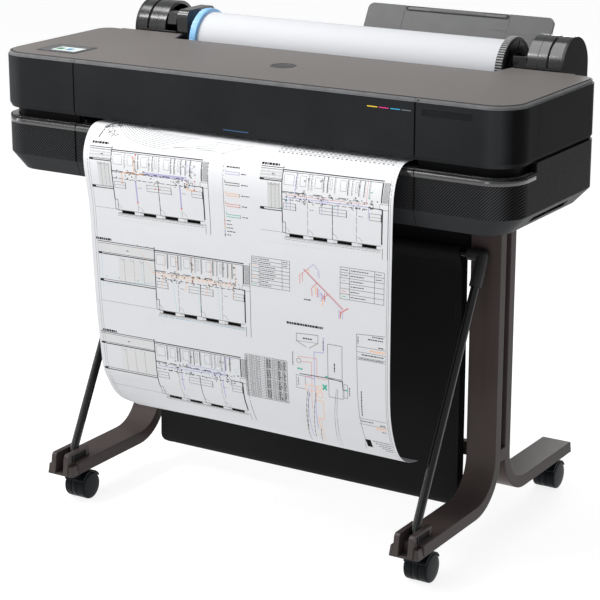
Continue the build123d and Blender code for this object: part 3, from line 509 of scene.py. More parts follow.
def smooth_curve(points, step):
    """A Catmull-Rom curve through the points, resampled at an even arc length."""
    pts = np.array(points, float)
    pts = np.vstack([2 * pts[0] - pts[1], pts, 2 * pts[-1] - pts[-2]])
    knots = np.concatenate([[0], np.cumsum(np.sqrt(np.linalg.norm(np.diff(pts, axis=0), axis=1)))])
    fine = []
    for i in range(1, len(pts) - 2):
        t0, t1, t2, t3 = knots[i - 1:i + 3]
        for t in np.linspace(t1, t2, 24, endpoint=False):
            a1 = between(t, t0, t1, pts[i - 1], pts[i])
            a2 = between(t, t1, t2, pts[i], pts[i + 1])
            a3 = between(t, t2, t3, pts[i + 1], pts[i + 2])
            fine.append(between(t, t1, t2, between(t, t0, t2, a1, a2), between(t, t1, t3, a2, a3)))
    fine = np.array(fine + [pts[-2]])
    run = np.concatenate([[0], np.cumsum(np.linalg.norm(np.diff(fine, axis=0), axis=1))])
    count = max(2, int(round(run[-1] / step)) + 1)
    at = np.linspace(0, run[-1], count)
    return np.stack([np.interp(at, run, fine[:, k]) for k in range(fine.shape[1])], 1), run[-1]


# ---- printed sheet --------------------------------------------------------------------------------
SHEET_WIDTH = ROLL_RIGHT - ROLL_LEFT
PAPER_HALF = 0.13
# The sheet seen from the side, as (depth, z): inside the body, then each edge from the slot down.
INSIDE = [(370, 749.6), (281, 728.6), (206, 710.4), (190, 707.5), (125, 707.6), (60, 708.0)]
LEFT_EDGE = [(20, 708.9), (4, 708.0), (-10, 702), (-24, 685), (-32, 662), (-31.8, 640), (-19.6, 565),
             (-14, 472), (-8, 387), (0, 313), (9, 257), (21, 235), (35, 213), (56, 192), (110, 161)]
RIGHT_EDGE = [(20, 708.9), (4, 708.0), (-10, 702), (-23, 687), (-31, 665), (-33.5, 643), (-35.5, 560),
              (-36.6, 480), (-36.2, 340), (-32, 290), (-22, 255), (-9, 228), (5, 211), (29, 196), (63, 188)]


class Paper:
    """The sheet's surface: u runs across it from the left edge, v along it from the slot."""

    def __init__(self):
        self.left, left_length = smooth_curve(INSIDE + LEFT_EDGE, 2.0)
        self.right, right_length = smooth_curve(INSIDE + RIGHT_EDGE, 2.0)
        self.length = (left_length + right_length) / 2
        self.start = smooth_curve(INSIDE + LEFT_EDGE[:2], 2.0)[1] - 16.0

    def at(self, u, v, lift):
        share = u / SHEET_WIDTH
        spot, slope = np.zeros(2), np.zeros(2)
        for line, weight in ((self.left, 1 - share), (self.right, share)):
            place = min(max((v + self.start) / self.length, 0.0), 1.0) * (len(line) - 1)
            low = min(int(place), len(line) - 2)
            part = place - low
            spot += weight * (line[low] * (1 - part) + line[low + 1] * part)
            slope += weight * (line[low + 1] - line[low])
        slope /= np.linalg.norm(slope)
        return point(ROLL_LEFT + u, spot[0] + lift * slope[1], spot[1] - lift * slope[0])


surface = Paper()


def printed_sheet():
    rows, columns = int(surface.length / 5), 30
    across = [SHEET_WIDTH * c / columns for c in range(columns + 1)]
    rings = []
    for r in range(rows + 1):
        v = surface.length * r / rows - surface.start
        rings.append([surface.at(u, v, PAPER_HALF) for u in across]
                     + [surface.at(u, v, -PAPER_HALF) for u in reversed(across)])
    shape = Shape()
    shape.loft(rings)
    sheet = shape.piece("printed_paper", "media_paper", "root", sheet_finish().material, 60)
    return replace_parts(sheet, "printed_sheet")


class Drawing:
    """Printed lines: thin closed strips that lie on the sheet, gathered by ink."""

    # Each ink's height above the paper, and its colour.
    INKS = {"grey": (0.03, (0.17, 0.168, 0.17)), "pale": (0.02, (0.61, 0.61, 0.615)),
            "orange": (0.05, (0.80, 0.45, 0.24)), "red": (0.06, (0.62, 0.20, 0.18)),
            "lilac": (0.05, (0.40, 0.39, 0.62)), "cyan": (0.05, (0.27, 0.56, 0.67)),
            "green": (0.06, (0.07, 0.41, 0.30)), "black": (0.08, (0.002, 0.002, 0.002)),
            "dark": (0.07, (0.020, 0.019, 0.020))}
    SPREAD = 1.3
    THINNEST = 0.55

    def __init__(self):
        self.shapes = {name: Shape() for name in self.INKS}
        self.origin = (0, 0)

    def line(self, ink, width, *points):
        """A line through the points, in steps short enough to follow the curve of the sheet."""
        half = max(self.THINNEST, width * self.SPREAD) / 2
        base, top = PAPER_HALF - 0.02, PAPER_HALF + self.INKS[ink][0]
        points = [(self.origin[0] + u, self.origin[1] + v) for u, v in points]
        for (u0, v0), (u1, v1) in zip(points, points[1:]):
            length = math.hypot(u1 - u0, v1 - v0)
            if length < 0.05:
                continue
            steps = math.ceil(length / 7.0)
            du, dv = (v0 - v1) / length * half, (u1 - u0) / length * half
            rings = []
            for i in range(steps + 1):
                u, v = u0 + (u1 - u0) * i / steps, v0 + (v1 - v0) * i / steps
                rings.append([surface.at(u + side * du, v + side * dv, lift)
                              for side, lift in ((-1, base), (1, base), (1, top), (-1, top))])
            self.shapes[ink].loft(rings)

    def across(self, ink, width, v, u0, u1):
        self.line(ink, width, (u0, v), (u1, v))

    def down(self, ink, width, u, v0, v1):
        self.line(ink, width, (u, v0), (u, v1))

    def box(self, ink, width, u0, v0, u1, v1):
        self.line(ink, width, (u0, v0), (u1, v0), (u1, v1), (u0, v1), (u0, v0))

    def fill(self, ink, u0, v0, u1, v1):
        self.down(ink, (u1 - u0) / self.SPREAD, (u0 + u1) / 2, v0, v1)

    def words(self, u, v, length, height=1.1, ink="dark", upright=False):
        """A line of lettering greeked as plain dashes."""
        run = 0.0
        while run < length - 1:
            dash = min(random.uniform(2.2, 5.5), length - run)
            if upright:
                self.down(ink, height, u, v + run, v + run + dash)
            else:
                self.across(ink, height, v, u + run, u + run + dash)
            run += dash + 1.1

    def dashed(self, ink, width, start, end, dash=4.0, gap=2.5):
        length = math.dist(start, end)
        across, along = (end[0] - start[0]) / length, (end[1] - start[1]) / length
        run = 0.0
        while run < length:
            self.line(ink, width, *((start[0] + across * s, start[1] + along * s)
                                    for s in (run, min(run + dash, length))))
            run += dash + gap

    def hatch(self, ink, width, u0, v0, u1, v1, pitch):
        """Slanted strokes clipped to a rectangle."""
        w, h = u1 - u0, v1 - v0
        run = pitch
        while run < w + h:
            self.line(ink, width, (u0 + min(run, w), v0 + max(0.0, run - w)),
                      (u0 + max(0.0, run - h), v0 + min(run, h)))
            run += pitch

    def arc(self, ink, width, u, v, radius, a0=0, a1=360):
        angles = [math.radians(a0 + (a1 - a0) * i / 20) for i in range(21)]
        self.line(ink, width, *((u + radius * math.cos(a), v + radius * math.sin(a)) for a in angles))

    def scribble(self, ink, width, count, us, vs, du, dv):
        """Short strokes at random places."""
        for _ in range(count):
            u, v = random.uniform(*us), random.uniform(*vs)
            self.line(ink, width, (u, v), (u + random.uniform(*du), v + random.uniform(*dv)))

    def pieces(self):
        made = []
        for ink, (_, colour) in self.INKS.items():
            finish = ink_finish(ink, colour).material
            made.append(self.shapes[ink].piece("print_" + ink, "media_paper", "root", finish))
        return made


def floor_plan(draw, place, pipes, wing):
    """A terrace of four rooms below a corridor, with a row of small rooms above it."""
    draw.origin = place
    w, corridor, h = 188.0, 36.0, 106.0
    draw.across("dark", 1.3, 0, -2, w - 2)
    draw.across("dark", 0.6, 3, -2, w - 2)
    draw.down("dark", 1.3, -1, -5, 88)
    draw.box("dark", 0.7, -1, 88, 5, 106)
    for v in (106.5, 112.8):
        draw.across("dark", 0.5, v, 4, w - 2)
    draw.down("dark", 1.6, w - 3, 3, 36)
    draw.down("dark", 1.8, w - 1, 46, h - 2)
    draw.across("dark", 0.9, 46, w - 24, w - 1)
    for share in (0.14, 0.26, 0.29, 0.41, 0.45, 0.52, 0.65, 0.69, 0.76, 0.81, 0.86):
        draw.down("dark", random.choice((0.5, 0.9, 1.1)), w * share, 4, corridor - 6)
        draw.down("grey", 0.35, w * share + 2, 4, corridor - 8)
    for a, b in ((0.0, 0.12), (0.16, 0.24), (0.31, 0.40), (0.46, 0.50), (0.56, 0.64), (0.71, 0.75)):
        draw.across("dark", 0.9, corridor, w * a, w * b)
        draw.box("grey", 0.35, w * a + 3, 7, w * b - 1, 24)
    for v, width in ((corridor + 2, 0.5), (corridor + 13, 0.7)):
        draw.dashed("dark", width, (0, v), (w - 26, v), 9, 3.5)
    draw.scribble("dark", 1.4, 30, (4, w - 10), (corridor - 4, corridor + 17), (1, 3.5), (-0.6, 0.6))
    for _ in range(16):
        u, v = w * random.choice((0.24, 0.40, 0.76, 0.88)) + random.uniform(-5, 5), random.uniform(8, 52)
        draw.box("dark", 0.4, u, v, u + random.uniform(1.5, 3), v + random.uniform(1.5, 3))
    for u in (w * 0.22, w * 0.70, w * 0.86):
        draw.scribble("dark", 0.8, 15, (u - 9, u + 9), (39, 52), (-2.5, 2.5), (-2.5, 2.5))
    for a, b in ((0.0, 0.135), (0.365, 0.645), (0.86, 0.985)):
        draw.box("grey", 0.6, w * a + 2, 55, w * b, 66)
        draw.across("grey", 0.45, 60.5, w * a + 2, w * b)
        draw.down("dark", 0.8, w * b, 55, 67)
    draw.dashed("dark", 0.9, (w * 0.505, 50), (w * 0.505, h), 16, 1.0)
    for u in (w * 0.255, w * 0.745):
        draw.dashed("grey", 0.6, (u, 50), (u, h), 12, 2.0)
        draw.across("grey", 0.6, 62, u + 3, u + 12)
    for i in range(4):
        u = 12 + i * 46.2
        draw.fill("black", u, 107, u + 27, 112)
        for v in (108, 111.5):
            draw.across("grey", 0.5, v, u - 8, u)
        draw.arc("grey", 0.35, u - 9, 106, 9, 270, 350)
    for v in (114.5, 117.0):
        draw.dashed("grey", 0.45, (2, v), (w - 3, v), 6.5, 0.8)
    for i in range(26):
        draw.down("pale", 0.4, 4 + i * 7, 119, 126)
    draw.hatch("grey", 0.45, w - 1, 2, w + 10, 36, 1.6)
    draw.box("grey", 0.5, w - 6, 38, w + 10, 47)
    draw.down("grey", 0.9, w + 10, -3, 128)
    draw.down("grey", 0.8, w + 0.5, h + 4, 128)
    draw_wing(draw, wing)
    pipes(draw, w)
    draw.origin = (0, 0)


def draw_wing(draw, wing):
    """The lightly drawn ground to the left of a plan."""
    draw.fill("pale", -wing * 0.65, 23, -4, 66)
    for i in range(4):
        draw.fill("pale", wing * (0.25 * i - 1), 1, wing * (0.25 * i - 0.76), 16)
    for i in range(3):
        u = wing * (0.17 * i - 0.58)
        draw.arc("grey", 0.3, u, 23, 4, 0, 180)
        draw.down("grey", 0.3, u + 4, 23, 66)
    for v, width in ((-2.5, 0.9), (0.5, 0.5), (17, 0.6), (19.5, 1.2), (66, 0.6), (69.5, 1.1)):
        draw.across("dark", width, v, -wing, -1)
    draw.fill("dark", -wing, 17, 8 - wing, 19.5)
    draw.fill("dark", -wing, 66, 8 - wing, 69.5)
    draw.across("grey", 0.4, 106, -wing, 0)
    draw.across("pale", 0.5, 125, -wing, 92)
    draw.words(-wing * 0.5, 9, 6)


def air_pipes(draw, w):
    draw.line("orange", 1.1, (20, 37), (w * 0.82, 37), (w * 0.82, 54), (w * 0.92, 54))
    draw.down("orange", 1.1, 46, 8, 37)
    draw.down("orange", 1.1, 20, 37, 54)
    draw.box("lilac", 1.0, w * 0.36, 33, w * 0.82, 37)
    draw.fill("lilac", w * 0.38, 34, w * 0.80, 35.5)
    for u in (w * 0.255, w * 0.745):
        draw.down("lilac", 2.2, u, 50, 88)
        draw.arc("red", 1.6, u, 89, 1.1)
    for share, v in ((0.10, 56), (0.23, 10), (0.26, 5), (0.47, 60), (0.52, 60), (0.90, 54), (0.91, 38)):
        draw.down("red", 1.8, w * share, v - 1.5, v + 1.5)
    draw.scribble("lilac", 0.6, 26, (w * 0.84 - 4, w * 0.84 + 12), (6, 48), (-4, 4), (-4, 4))


def drain_pipes(draw, w):
    draw.dashed("orange", 0.6, (-40, -6), (-8, 36), 5, 2)
    draw.dashed("orange", 0.9, (-8, 40), (w - 26, 40), 9, 1.5)
    draw.dashed("orange", 0.6, (0, 44), (w - 24, 44), 6, 2)
    for share in (0.10, 0.24, 0.42, 0.62, 0.84, 0.90):
        draw.dashed("orange", 0.7, (w * share, 6), (w * share, 42), 4, 2)
        draw.arc("red", 1.0, w * share, random.uniform(8, 60), 0.7)
    for share in (0.09, 0.36, 0.60, 0.88):
        draw.dashed("orange", 0.8, (w * share, 44), (w * share - 5, 64), 4, 1.5)
    draw.dashed("cyan", 0.9, (-118, 8), (-118, 78), 2.5, 2)
    draw.dashed("cyan", 0.6, (-112, 74), (-4, 60), 8, 2)
    for share in (0.2, 0.48, 0.7):
        draw.dashed("cyan", 0.6, (w * share, 50), (w * share + 4, 104))
    draw.dashed("cyan", 0.6, (-30, -2), (-30, 62), 5, 3)
    draw.dashed("cyan", 0.6, (0, 118), (w, 116), 9, 4)
    for _ in range(9):
        draw.arc("green", 0.9, random.uniform(-116, -6), random.choice((-4, 20, 60)), 0.6)


def power_pipes(draw, w):
    draw.box("lilac", 0.9, w * 0.36, 32, w * 0.80, 37)
    draw.line("lilac", 0.9, (4, 44), (w * 0.8, 40), (w * 0.8, 6), (w * 0.9, 6))
    for share in (0.29, 0.77):
        draw.line("lilac", 1.6, (w * share, 48), (w * share + 1, 84))
    for _ in range(30):
        u, v = random.uniform(2, w - 8), random.uniform(4, 66)
        draw.across("green", 1.2, v, u, u + 1.1)
    for _ in range(16):
        u, v = w * random.choice((0.3, 0.74, 0.86)) + random.uniform(-6, 8), random.uniform(30, 56)
        draw.line("lilac", 0.5, (u, v), (u + random.uniform(-4, 4), v + random.uniform(-4, 4)))


def water_pipes(draw, w):
    draw.line("red", 0.5, (6, 41), (w * 0.84, 41), (w * 0.84, 4))
    draw.line("lilac", 0.9, (4, 45), (w * 0.86, 45), (w * 0.86, 64))
    draw.dashed("lilac", 1.1, (26, 2), (24, 44), 5, 1.5)
    for share in (0.04, 0.08, 0.40, 0.56):
        draw.down("lilac", 0.9, w * share, 45, 66)
    draw.box("lilac", 0.7, w * 0.38, 42, w * 0.46, 48)
    for share, v in ((-0.02, 64), (0.04, 50), (0.86, 30), (0.88, 20), (0.52, 50)):
        draw.line("green", 1.6, (w * share, v), (w * share + 2, v + 1))


def draw_map(draw):
    """The top of the sheet: contour lines, a rough patch of planting and a strip of details."""
    draw.line("black", 1.7, (41, -6), (34, 16), (26, 43))
    for i in range(34):
        u, v = random.uniform(32, 60), random.uniform(4, 36)
        draw.line("dark" if i % 3 else "grey", 0.5, (u, v),
                  (u + random.uniform(-7, 7), v + random.uniform(-7, 7)),
                  (u + random.uniform(-6, 9), v + random.uniform(2, 8)))
    outer = np.array([(40, -14), (45, 2), (66, 25), (88, 39), (110, 46), (150, 51)], float)
    inner = np.array([(92, -14), (96, -2), (112, 9), (138, 17), (170, 21), (226, 23)], float)
    for k in range(11):
        draw.line("dark", 0.42, *smooth_curve(outer + (inner - outer) * k / 10, 6.0)[0])
    draw.scribble("dark", 0.5, 30, (86, 146), (4, 13), (-8, 8), (-3, 3))
    for k in range(4):
        draw.line("grey", 0.4, (150 + 18 * k, 51 - 4 * k), (216 + 9 * k, 47 - 4 * k), (262, 45 - 5 * k))
    draw.line("grey", 0.45, (182, 47), (221, 43), (266, 45), (260, 26), (308, 28), (308, 45), (278, 48),
              (330, 26))
    for v in (14, 22, 31):
        draw.across("grey", 0.35, v - 4, 378, 599)
        for i in range(26):
            draw.across("dark" if i % 2 else "grey", 1.6, v, 382 + i * 8.4, 385.2 + i * 8.4)


def draw_legend(draw):
    draw.down("grey", 0.7, 288, 62, 190)
    draw.words(294, 68, 26, 1.6)
    for i, ink in enumerate(("lilac", "dark", "orange", "red", "green")):
        v = 76 + i * 18.5
        draw.down(ink, 0.8, 292, v - 4, v)
        for dv in (0, 4):
            draw.across(ink, 0.8, v + dv, 292, 320)
        draw.down("dark", 0.5, 320, v - 1, v + 5)
        draw.words(324, v + 2, 10 + 3 * (i % 3), 1.2)
    for i, ink in enumerate(("red", "red", "orange", "lilac", "dark")):
        v = 161 + i * 6.2
        draw.fill(ink, 286.6, v - 1, 289, v + 1.2)
        draw.words(292, v, 8 + 3 * (i % 4))


def draw_table(draw, place, columns, rows, height, marks):
    """A ruled table of three columns with greeked entries."""
    draw.origin = place
    edges = [sum(columns[:k]) for k in range(4)]
    for u in edges:
        draw.down("dark", 0.5, u, 0, rows * height)
    for r in range(rows + 1):
        draw.across("dark", 0.45, r * height, 0, edges[-1])
    for r in range(rows):
        middle = (r + 0.5) * height
        draw.words(edges[1] + 2, middle, min(columns[1] - 5, random.uniform(14, 34)))
        if r < 2:
            draw.words(2, middle, columns[0] - 5, 1.0)
            draw.words(edges[2] + 2, middle, columns[2] - 6, 1.0)
    for r, ink in marks:
        draw.across(ink, 0.8, (r + 0.5) * height, 3, 11)
    draw.origin = (0, 0)


def draw_schedule(draw):
    """The dense schedule below the third plan."""
    top, rows, pitch = 391.0, 25, 3.08
    for u in (321, 331, 340, 351, 362, 378, 387, 398, 408):
        draw.down("dark", 0.4, u, top, top + rows * pitch)
    for r in range(rows + 1):
        draw.across("dark", 0.35, top + pitch * r, 321, 408)
    for r in range(rows):
        for u, length in ((323, 4), (333, 5), (343, 6), (365, 9), (380, 5), (389, 7), (400, 5)):
            look = (1.2, "dark") if u in (365, 389, 400) and r % 6 else (0.7, "grey")
            draw.words(u, top + pitch * (r + 0.5), length + random.uniform(-1, 1), *look)


def draw_isometric(draw):
    """Pipework drawn in parallel projection."""
    for ink, width, *points in (
            ("red", 1.2, (443, 225), (520, 284)), ("lilac", 0.8, (444, 227), (519, 286)),
            ("lilac", 0.9, (436, 236), (463, 215), (473, 225), (474, 237)),
            ("orange", 0.9, (434, 238), (453, 224), (453, 236)), ("red", 0.9, (436, 236), (436, 251)),
            ("red", 0.8, (441, 232), (441, 247)), ("lilac", 0.7, (471, 226), (471, 235)),
            ("red", 0.9, (469, 246), (459, 256), (460, 270)), ("orange", 1.2, (467, 252), (467, 266)),
            ("red", 1.2, (470, 254), (470, 270)), ("lilac", 1.2, (473, 256), (473, 270)),
            ("lilac", 1.2, (478, 262), (478, 276)), ("orange", 1.2, (480, 264), (480, 284)),
            ("red", 1.2, (484, 262), (484, 276)), ("lilac", 2.4, (476, 262), (486, 272)),
            ("red", 1.1, (491, 262), (480, 272)), ("red", 1.6, (530, 281), (516, 290), (514, 298)),
            ("lilac", 1.0, (512, 286), (512, 301)), ("red", 1.0, (514.5, 286), (514.5, 301)),
            ("lilac", 1.0, (519, 286), (519, 301))):
        draw.line(ink, width, *points)
    draw.words(444, 277, 14, 1.6)


def draw_schematic(draw):
    """The plant room schematic in the lower middle."""
    draw.words(409, 322, 72, 3.0, "black")
    draw.words(441, 345, 18, 1.8)
    draw.words(481, 344, 18, 1.0, "dark", True)
    draw.words(503, 380, 15, 1.6, "dark", True)
    draw.words(430, 416, 14, 1.2, "grey", True)
    draw.words(429, 400, 10, 2.4, "green")
    draw.words(420, 372, 24, 1.2, "dark", True)
    draw.words(532, 418, 16, 1.2, "dark", True)
    draw.fill("lilac", 480.5, 338, 483.5, 341)
    for ink, width, *corners in (
            ("grey", 0.8, 490, 348, 518, 407), ("grey", 0.7, 491, 409, 519, 441),
            ("grey", 0.6, 426, 412, 444, 435), ("orange", 0.7, 444, 427, 466, 436),
            ("grey", 0.7, 521, 414, 528, 438)):
        draw.box(ink, width, *corners)
    for ink, width, *circle in (("grey", 0.7, 432, 386, 4.2), ("orange", 0.9, 473, 429, 4.5),
                                ("orange", 0.9, 473, 441, 5.5)):
        draw.arc(ink, width, *circle)
    for ink, width, *points in (
            ("grey", 0.8, (448, 360), (428, 351), (428, 338), (471, 336), (471, 350), (453, 361)),
            ("grey", 0.5, (429, 351), (471, 350)),
            ("lilac", 1.2, (482, 341), (482, 365), (463, 366), (463, 418), (464, 453), (458, 512)),
            ("dark", 0.9, (433, 409), (491, 408), (518, 410), (519, 424), (524, 424)),
            ("red", 0.6, (430, 379), (468, 377), (468, 412), (491, 411)),
            ("red", 0.6, (437, 387), (458, 385), (457, 410), (444, 413)),
            ("red", 0.5, (458, 408), (455, 470)), ("lilac", 1.4, (444, 412), (463, 414)),
            ("orange", 0.8, (465, 436), (465, 452), (479, 452), (477, 487), (465, 487), (462, 512)),
            ("orange", 0.7, (470, 487), (462, 549)), ("green", 2.6, (479, 421), (487, 430)),
            ("green", 2.6, (487, 421), (479, 430)), ("green", 1.8, (484, 406), (490, 406)),
            ("green", 1.8, (523, 424), (529, 424)), ("grey", 0.6, (506, 425), (488, 555)),
            ("grey", 0.6, (509, 425), (495, 554)), ("lilac", 0.8, (451, 430), (441, 540))):
        draw.line(ink, width, *points)
    for start, end in (((448, 438), (430, 553)), ((465, 439), (446, 536)), ((452, 440), (436, 520)),
                       ((464, 511), (454, 548))):
        draw.dashed("dark", 0.7, start, end, 9, 2.2)


def draw_title_block(draw):
    draw.line("grey", 0.7, (546, 540), (552, 514), (548, 434), (546, 322), (600, 319))
    for v in (343, 352, 361, 365, 470, 481):
        draw.across("grey", 0.6, v, 547, 601)
    for entry in ((576, 323, 22, 1.4), (568, 328, 30, 1.4), (549, 326, 12, 1.2, "dark", True),
                  (588, 340, 10, 1.4), (572, 347.5, 28, 2.0, "orange"), (556, 356, 42, 1.4),
                  (551, 363, 46, 1.0), (555, 420, 46, 1.4, "dark", True), (551, 475, 26, 1.2),
                  (588, 478, 10, 1.4), (580, 485, 20, 2.2, "orange"), (590, 491, 8, 1.2)):
        draw.words(*entry)
    draw.fill("black", 552, 514, 562, 532)
    for i in range(5):
        draw.words(566 + 5 * i, 515 + 5 * i, 34 - 4.6 * i, 1.0)


def draw_borders(draw):
    last = surface.length - surface.start - 12
    for u, width, top, foot in ((602.5, 0.5, 20, last), (605.5, 0.45, 20, last), (8.5, 0.45, 20, last),
                                (13, 0.35, 60, last - 6)):
        draw.down("grey", width, u, top, foot)
    for v in (last, last - 6):
        draw.across("grey", 0.45, v, 8, 605)


def print_sheet():
    draw = Drawing()
    draw_borders(draw)
    draw_map(draw)
    for u, v, length in ((16, 52, 34), (10, 225, 34), (10, 394, 33), (360, 55, 36)):
        draw.words(u, v, length, 3.0, "black")
    floor_plan(draw, (60, 62), air_pipes, 47)
    floor_plan(draw, (404, 62), water_pipes, 44)
    floor_plan(draw, (138, 232), drain_pipes, 124)
    floor_plan(draw, (126, 400), power_pipes, 122)
    draw_legend(draw)
    draw_table(draw, (340, 216), (15, 46, 15), 8, 6.4,
               ((2, "orange"), (3, "cyan"), (5, "orange"), (7, "green")))
    draw_table(draw, (514, 212), (18, 47, 18), 6, 9.0, ((2, "lilac"), (4, "red"), (5, "green")))
    draw_schedule(draw)
    draw_isometric(draw)
    draw_schematic(draw)
    draw_title_block(draw)
    return draw.pieces()


random.seed(7)
sheet = printed_sheet()
prints = print_sheet()


# ---- basket ---------------------------------------------------------------------------------------
BAR_D, BAR_Z = axis_of("basket_crossbar")
REAR_D, REAR_Z = axis_of("basket_rear_bar")
CLOTH_FOOT = span("basket_front_cloth")[0][2]
CLOTH_HALF = span("basket_front_cloth")[1][0]
TAB_HALF = span("basket_rear_cloth")[1][0]
SLEEVE_R = 8.2
FOLD_R = (REAR_D - BAR_D) / 2
FOLD_CORNER = 16.0
HEM_Z = BAR_Z - 23
HEM_WIDTH = 9
CLOTH_THICK = 0.7


def sleeve(depth, z):
    """The cloth round a bar, from behind it over the top to the front."""
    turns = [math.radians(a) for a in range(60, 301, 20)]
    return [(depth + SLEEVE_R * math.sin(a), z - SLEEVE_R * math.cos(a)) for a in turns]


def basket_path():
    """The sling seen from the side: sleeve, front layer, fold, rear layer, sleeve."""
    turns = [math.radians(a) for a in range(0, 181, 30)]
    fold = [(BAR_D + FOLD_R * (1 - math.cos(a)), CLOTH_FOOT + FOLD_R * (1 - math.sin(a))) for a in turns]
    front = [(BAR_D - 2.2, HEM_Z + 4), (BAR_D - 0.6, HEM_Z - 8), (BAR_D, HEM_Z - 60), (BAR_D, 300),
             (BAR_D, 180), (BAR_D, CLOTH_FOOT + 40)]
    rear = [(REAR_D, CLOTH_FOOT + 60), (REAR_D, 200), (REAR_D, 400), (REAR_D + 0.6, REAR_Z - 26),
            (REAR_D + 3, REAR_Z - 16)]
    return ([(BAR_D + 1.4, HEM_Z)] + sleeve(BAR_D, BAR_Z) + front + fold + rear + sleeve(REAR_D, REAR_Z)
            + [(REAR_D - 1.4, REAR_Z - 22)])


def basket_half_width(depth, z):
    """Half the sling's width: rounded at the fold, wider beside the posts at the top."""
    if z < CLOTH_FOOT + FOLD_CORNER:
        drop = FOLD_CORNER - (z - CLOTH_FOOT)
        return CLOTH_HALF - FOLD_CORNER + math.sqrt(max(FOLD_CORNER ** 2 - drop ** 2, 4.0))
    if depth > REAR_D - 4 and z > BAR_Z - 4:
        share = min(1.0, (z - BAR_Z + 4) / 12)
        return CLOTH_HALF + (TAB_HALF - CLOTH_HALF) * share * share * (3 - 2 * share)
    front_sleeve = depth < REAR_D - 8 and z > HEM_Z
    return CLOTH_HALF - (4.0 * (z - HEM_Z) / 30 if front_sleeve else 0.0)


def basket_wave(x, z, rear):
    """Shallow hanging folds, none at the bars and at the bottom fold."""
    top = REAR_Z if rear else BAR_Z
    share = min(max((z - CLOTH_FOOT) / (top - CLOTH_FOOT), 0.0), 1.0)
    calm = math.sin(math.pi * share) ** 0.7
    phase = 1.7 if rear else 0.0
    return calm * (1.1 * math.sin(x / 68 + phase) + 0.7 * math.sin(x / 29 + z / 120 + phase))


def basket_sling():
    path, length = smooth_curve(basket_path(), 6.0)
    columns = 48
    rings = []
    middle = int(np.argmin(path[:, 1]))
    for i, (depth, z) in enumerate(path):
        along = path[min(i + 1, len(path) - 1)] - path[max(i - 1, 0)]
        along = along / np.linalg.norm(along)
        half = basket_half_width(depth, z)
        over, under = [], []
        for c in range(columns + 1):
            x = -half + 2 * half * c / columns
            d = depth + (basket_wave(x, z, i > middle) if along[1] else 0.0)
            face = CLOTH_THICK / 2
            hemmed = CLOTH_THICK if half - abs(x) < HEM_WIDTH else face
            over.append(point(x, d + along[1] * hemmed, z - along[0] * hemmed))
            under.append(point(x, d - along[1] * face, z + along[0] * face))
        rings.append(over + under[::-1])
    shape = Shape()
    shape.loft(rings)
    return shape.piece("basket_sling", "basket_fabric", body=None, crease=70), length


def basket_stitches():
    """Short stitches along the hem of the front sleeve and down both side hems."""
    shape = Shape()
    pitch, stitch = 5.0, 3.2
    for i in range(int(2 * (CLOTH_HALF - 6) / pitch)):
        x = -CLOTH_HALF + 6 + i * pitch
        d = BAR_D - 2.1 + basket_wave(x, HEM_Z, False)
        shape.bar((x, d - 0.35, HEM_Z - 0.3), (x + stitch, d + 0.9, HEM_Z + 0.3), 0.1)
    for side in (-1, 1):
        for i in range(int((HEM_Z - CLOTH_FOOT - 34) / pitch)):
            z = CLOTH_FOOT + 28 + i * pitch
            x = side * (CLOTH_HALF - 10.5)
            d = BAR_D - 0.35 + basket_wave(x, z, False)
            shape.bar((x - 0.3, d - 0.35, z), (x + 0.3, d + 0.5, z + stitch), 0.1)
    thread = fabric("basket_thread", (0.022, 0.022, 0.024)).material
    return shape.piece("basket_stitches", "basket_fabric", None, thread)


sling, sling_length = basket_sling()
stitches = basket_stitches()
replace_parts(sling, "basket_front_cloth", "basket_rear_cloth")
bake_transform(sling)
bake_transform(stitches)


# ---- body details ---------------------------------------------------------------------------------
BODY_HALF = 506.5
SEAM_X = 334.0
JOINT_BLACK = (0.0015, 0.0015, 0.0015)


def plate(x0, x1, z0, z1, proud, corner, shape=None):
    """A thin plate on the front face, with rounded corners."""
    shape = shape or Shape()
    outline = [(x + corner * math.cos(a), z + corner * math.sin(a))
               for x, z, a in rounded(x0, x1, z0, z1, corner, 4)]
    shape.loft([[point(x, depth, z) for x, z in outline] for depth in (0.2, -proud)])
    return shape


def slab(shape, x0, x1, d0, d1, z0, z1, corner):
    """A flat slab seen from above, with rounded corners."""
    outline = [(x + corner * math.cos(a), d + corner * math.sin(a))
               for x, d, a in rounded(x0, x1, d0, d1, corner, 5)]
    shape.loft([[point(x, d, z) for x, d in outline] for z in (z0, z1)])


def colour_finish(name, colour, rough=0.45):
    made = Finish(name)
    made.colour(made.mottle(colour, 0.05, 300.0))
    made.roughness(rough - 0.05, rough + 0.05, 200.0)
    made.bump(made.noise(1500.0, 2.0), 0.00002)
    return made


def front_marks():
    """Four ink marks, the touch mark under them and the blank name plate."""
    for name, x0, x1, z0, z1, corner, colour in (
            ("yellow", 249, 267.5, 792.8, 794.3, 0.6, (0.90, 0.62, 0.03)),
            ("magenta", 270, 288, 792.8, 794.3, 0.6, (0.70, 0.02, 0.22)),
            ("cyan", 291, 308.6, 792.8, 794.3, 0.6, (0.02, 0.36, 0.62)),
            ("grey", 311, 328, 792.8, 794.3, 0.6, (0.14, 0.15, 0.16)),
            ("blue", -25, 25, 724.6, 725.8, 0.5, (0.025, 0.11, 0.25))):
        name = "mark_" + name
        shape = plate(x0, x1, z0, z1, 0.12, corner)
        shape.piece(name, "cover_plastic", "front_door", colour_finish(name, colour).material)
    edge = plate(345, 436, 786.5, 800.5, 0.12, 1.2)
    edge.trim("name_plate_edge", "cover_plastic", "root", (0.002, 0.002, 0.002))
    blank = plate(346, 435, 787.5, 799.5, 0.35, 1.0)
    blank.trim("name_plate", "cover_plastic", "root", (0.0125, 0.0130, 0.0140), 0.40, 0.00002, specular=0.06)


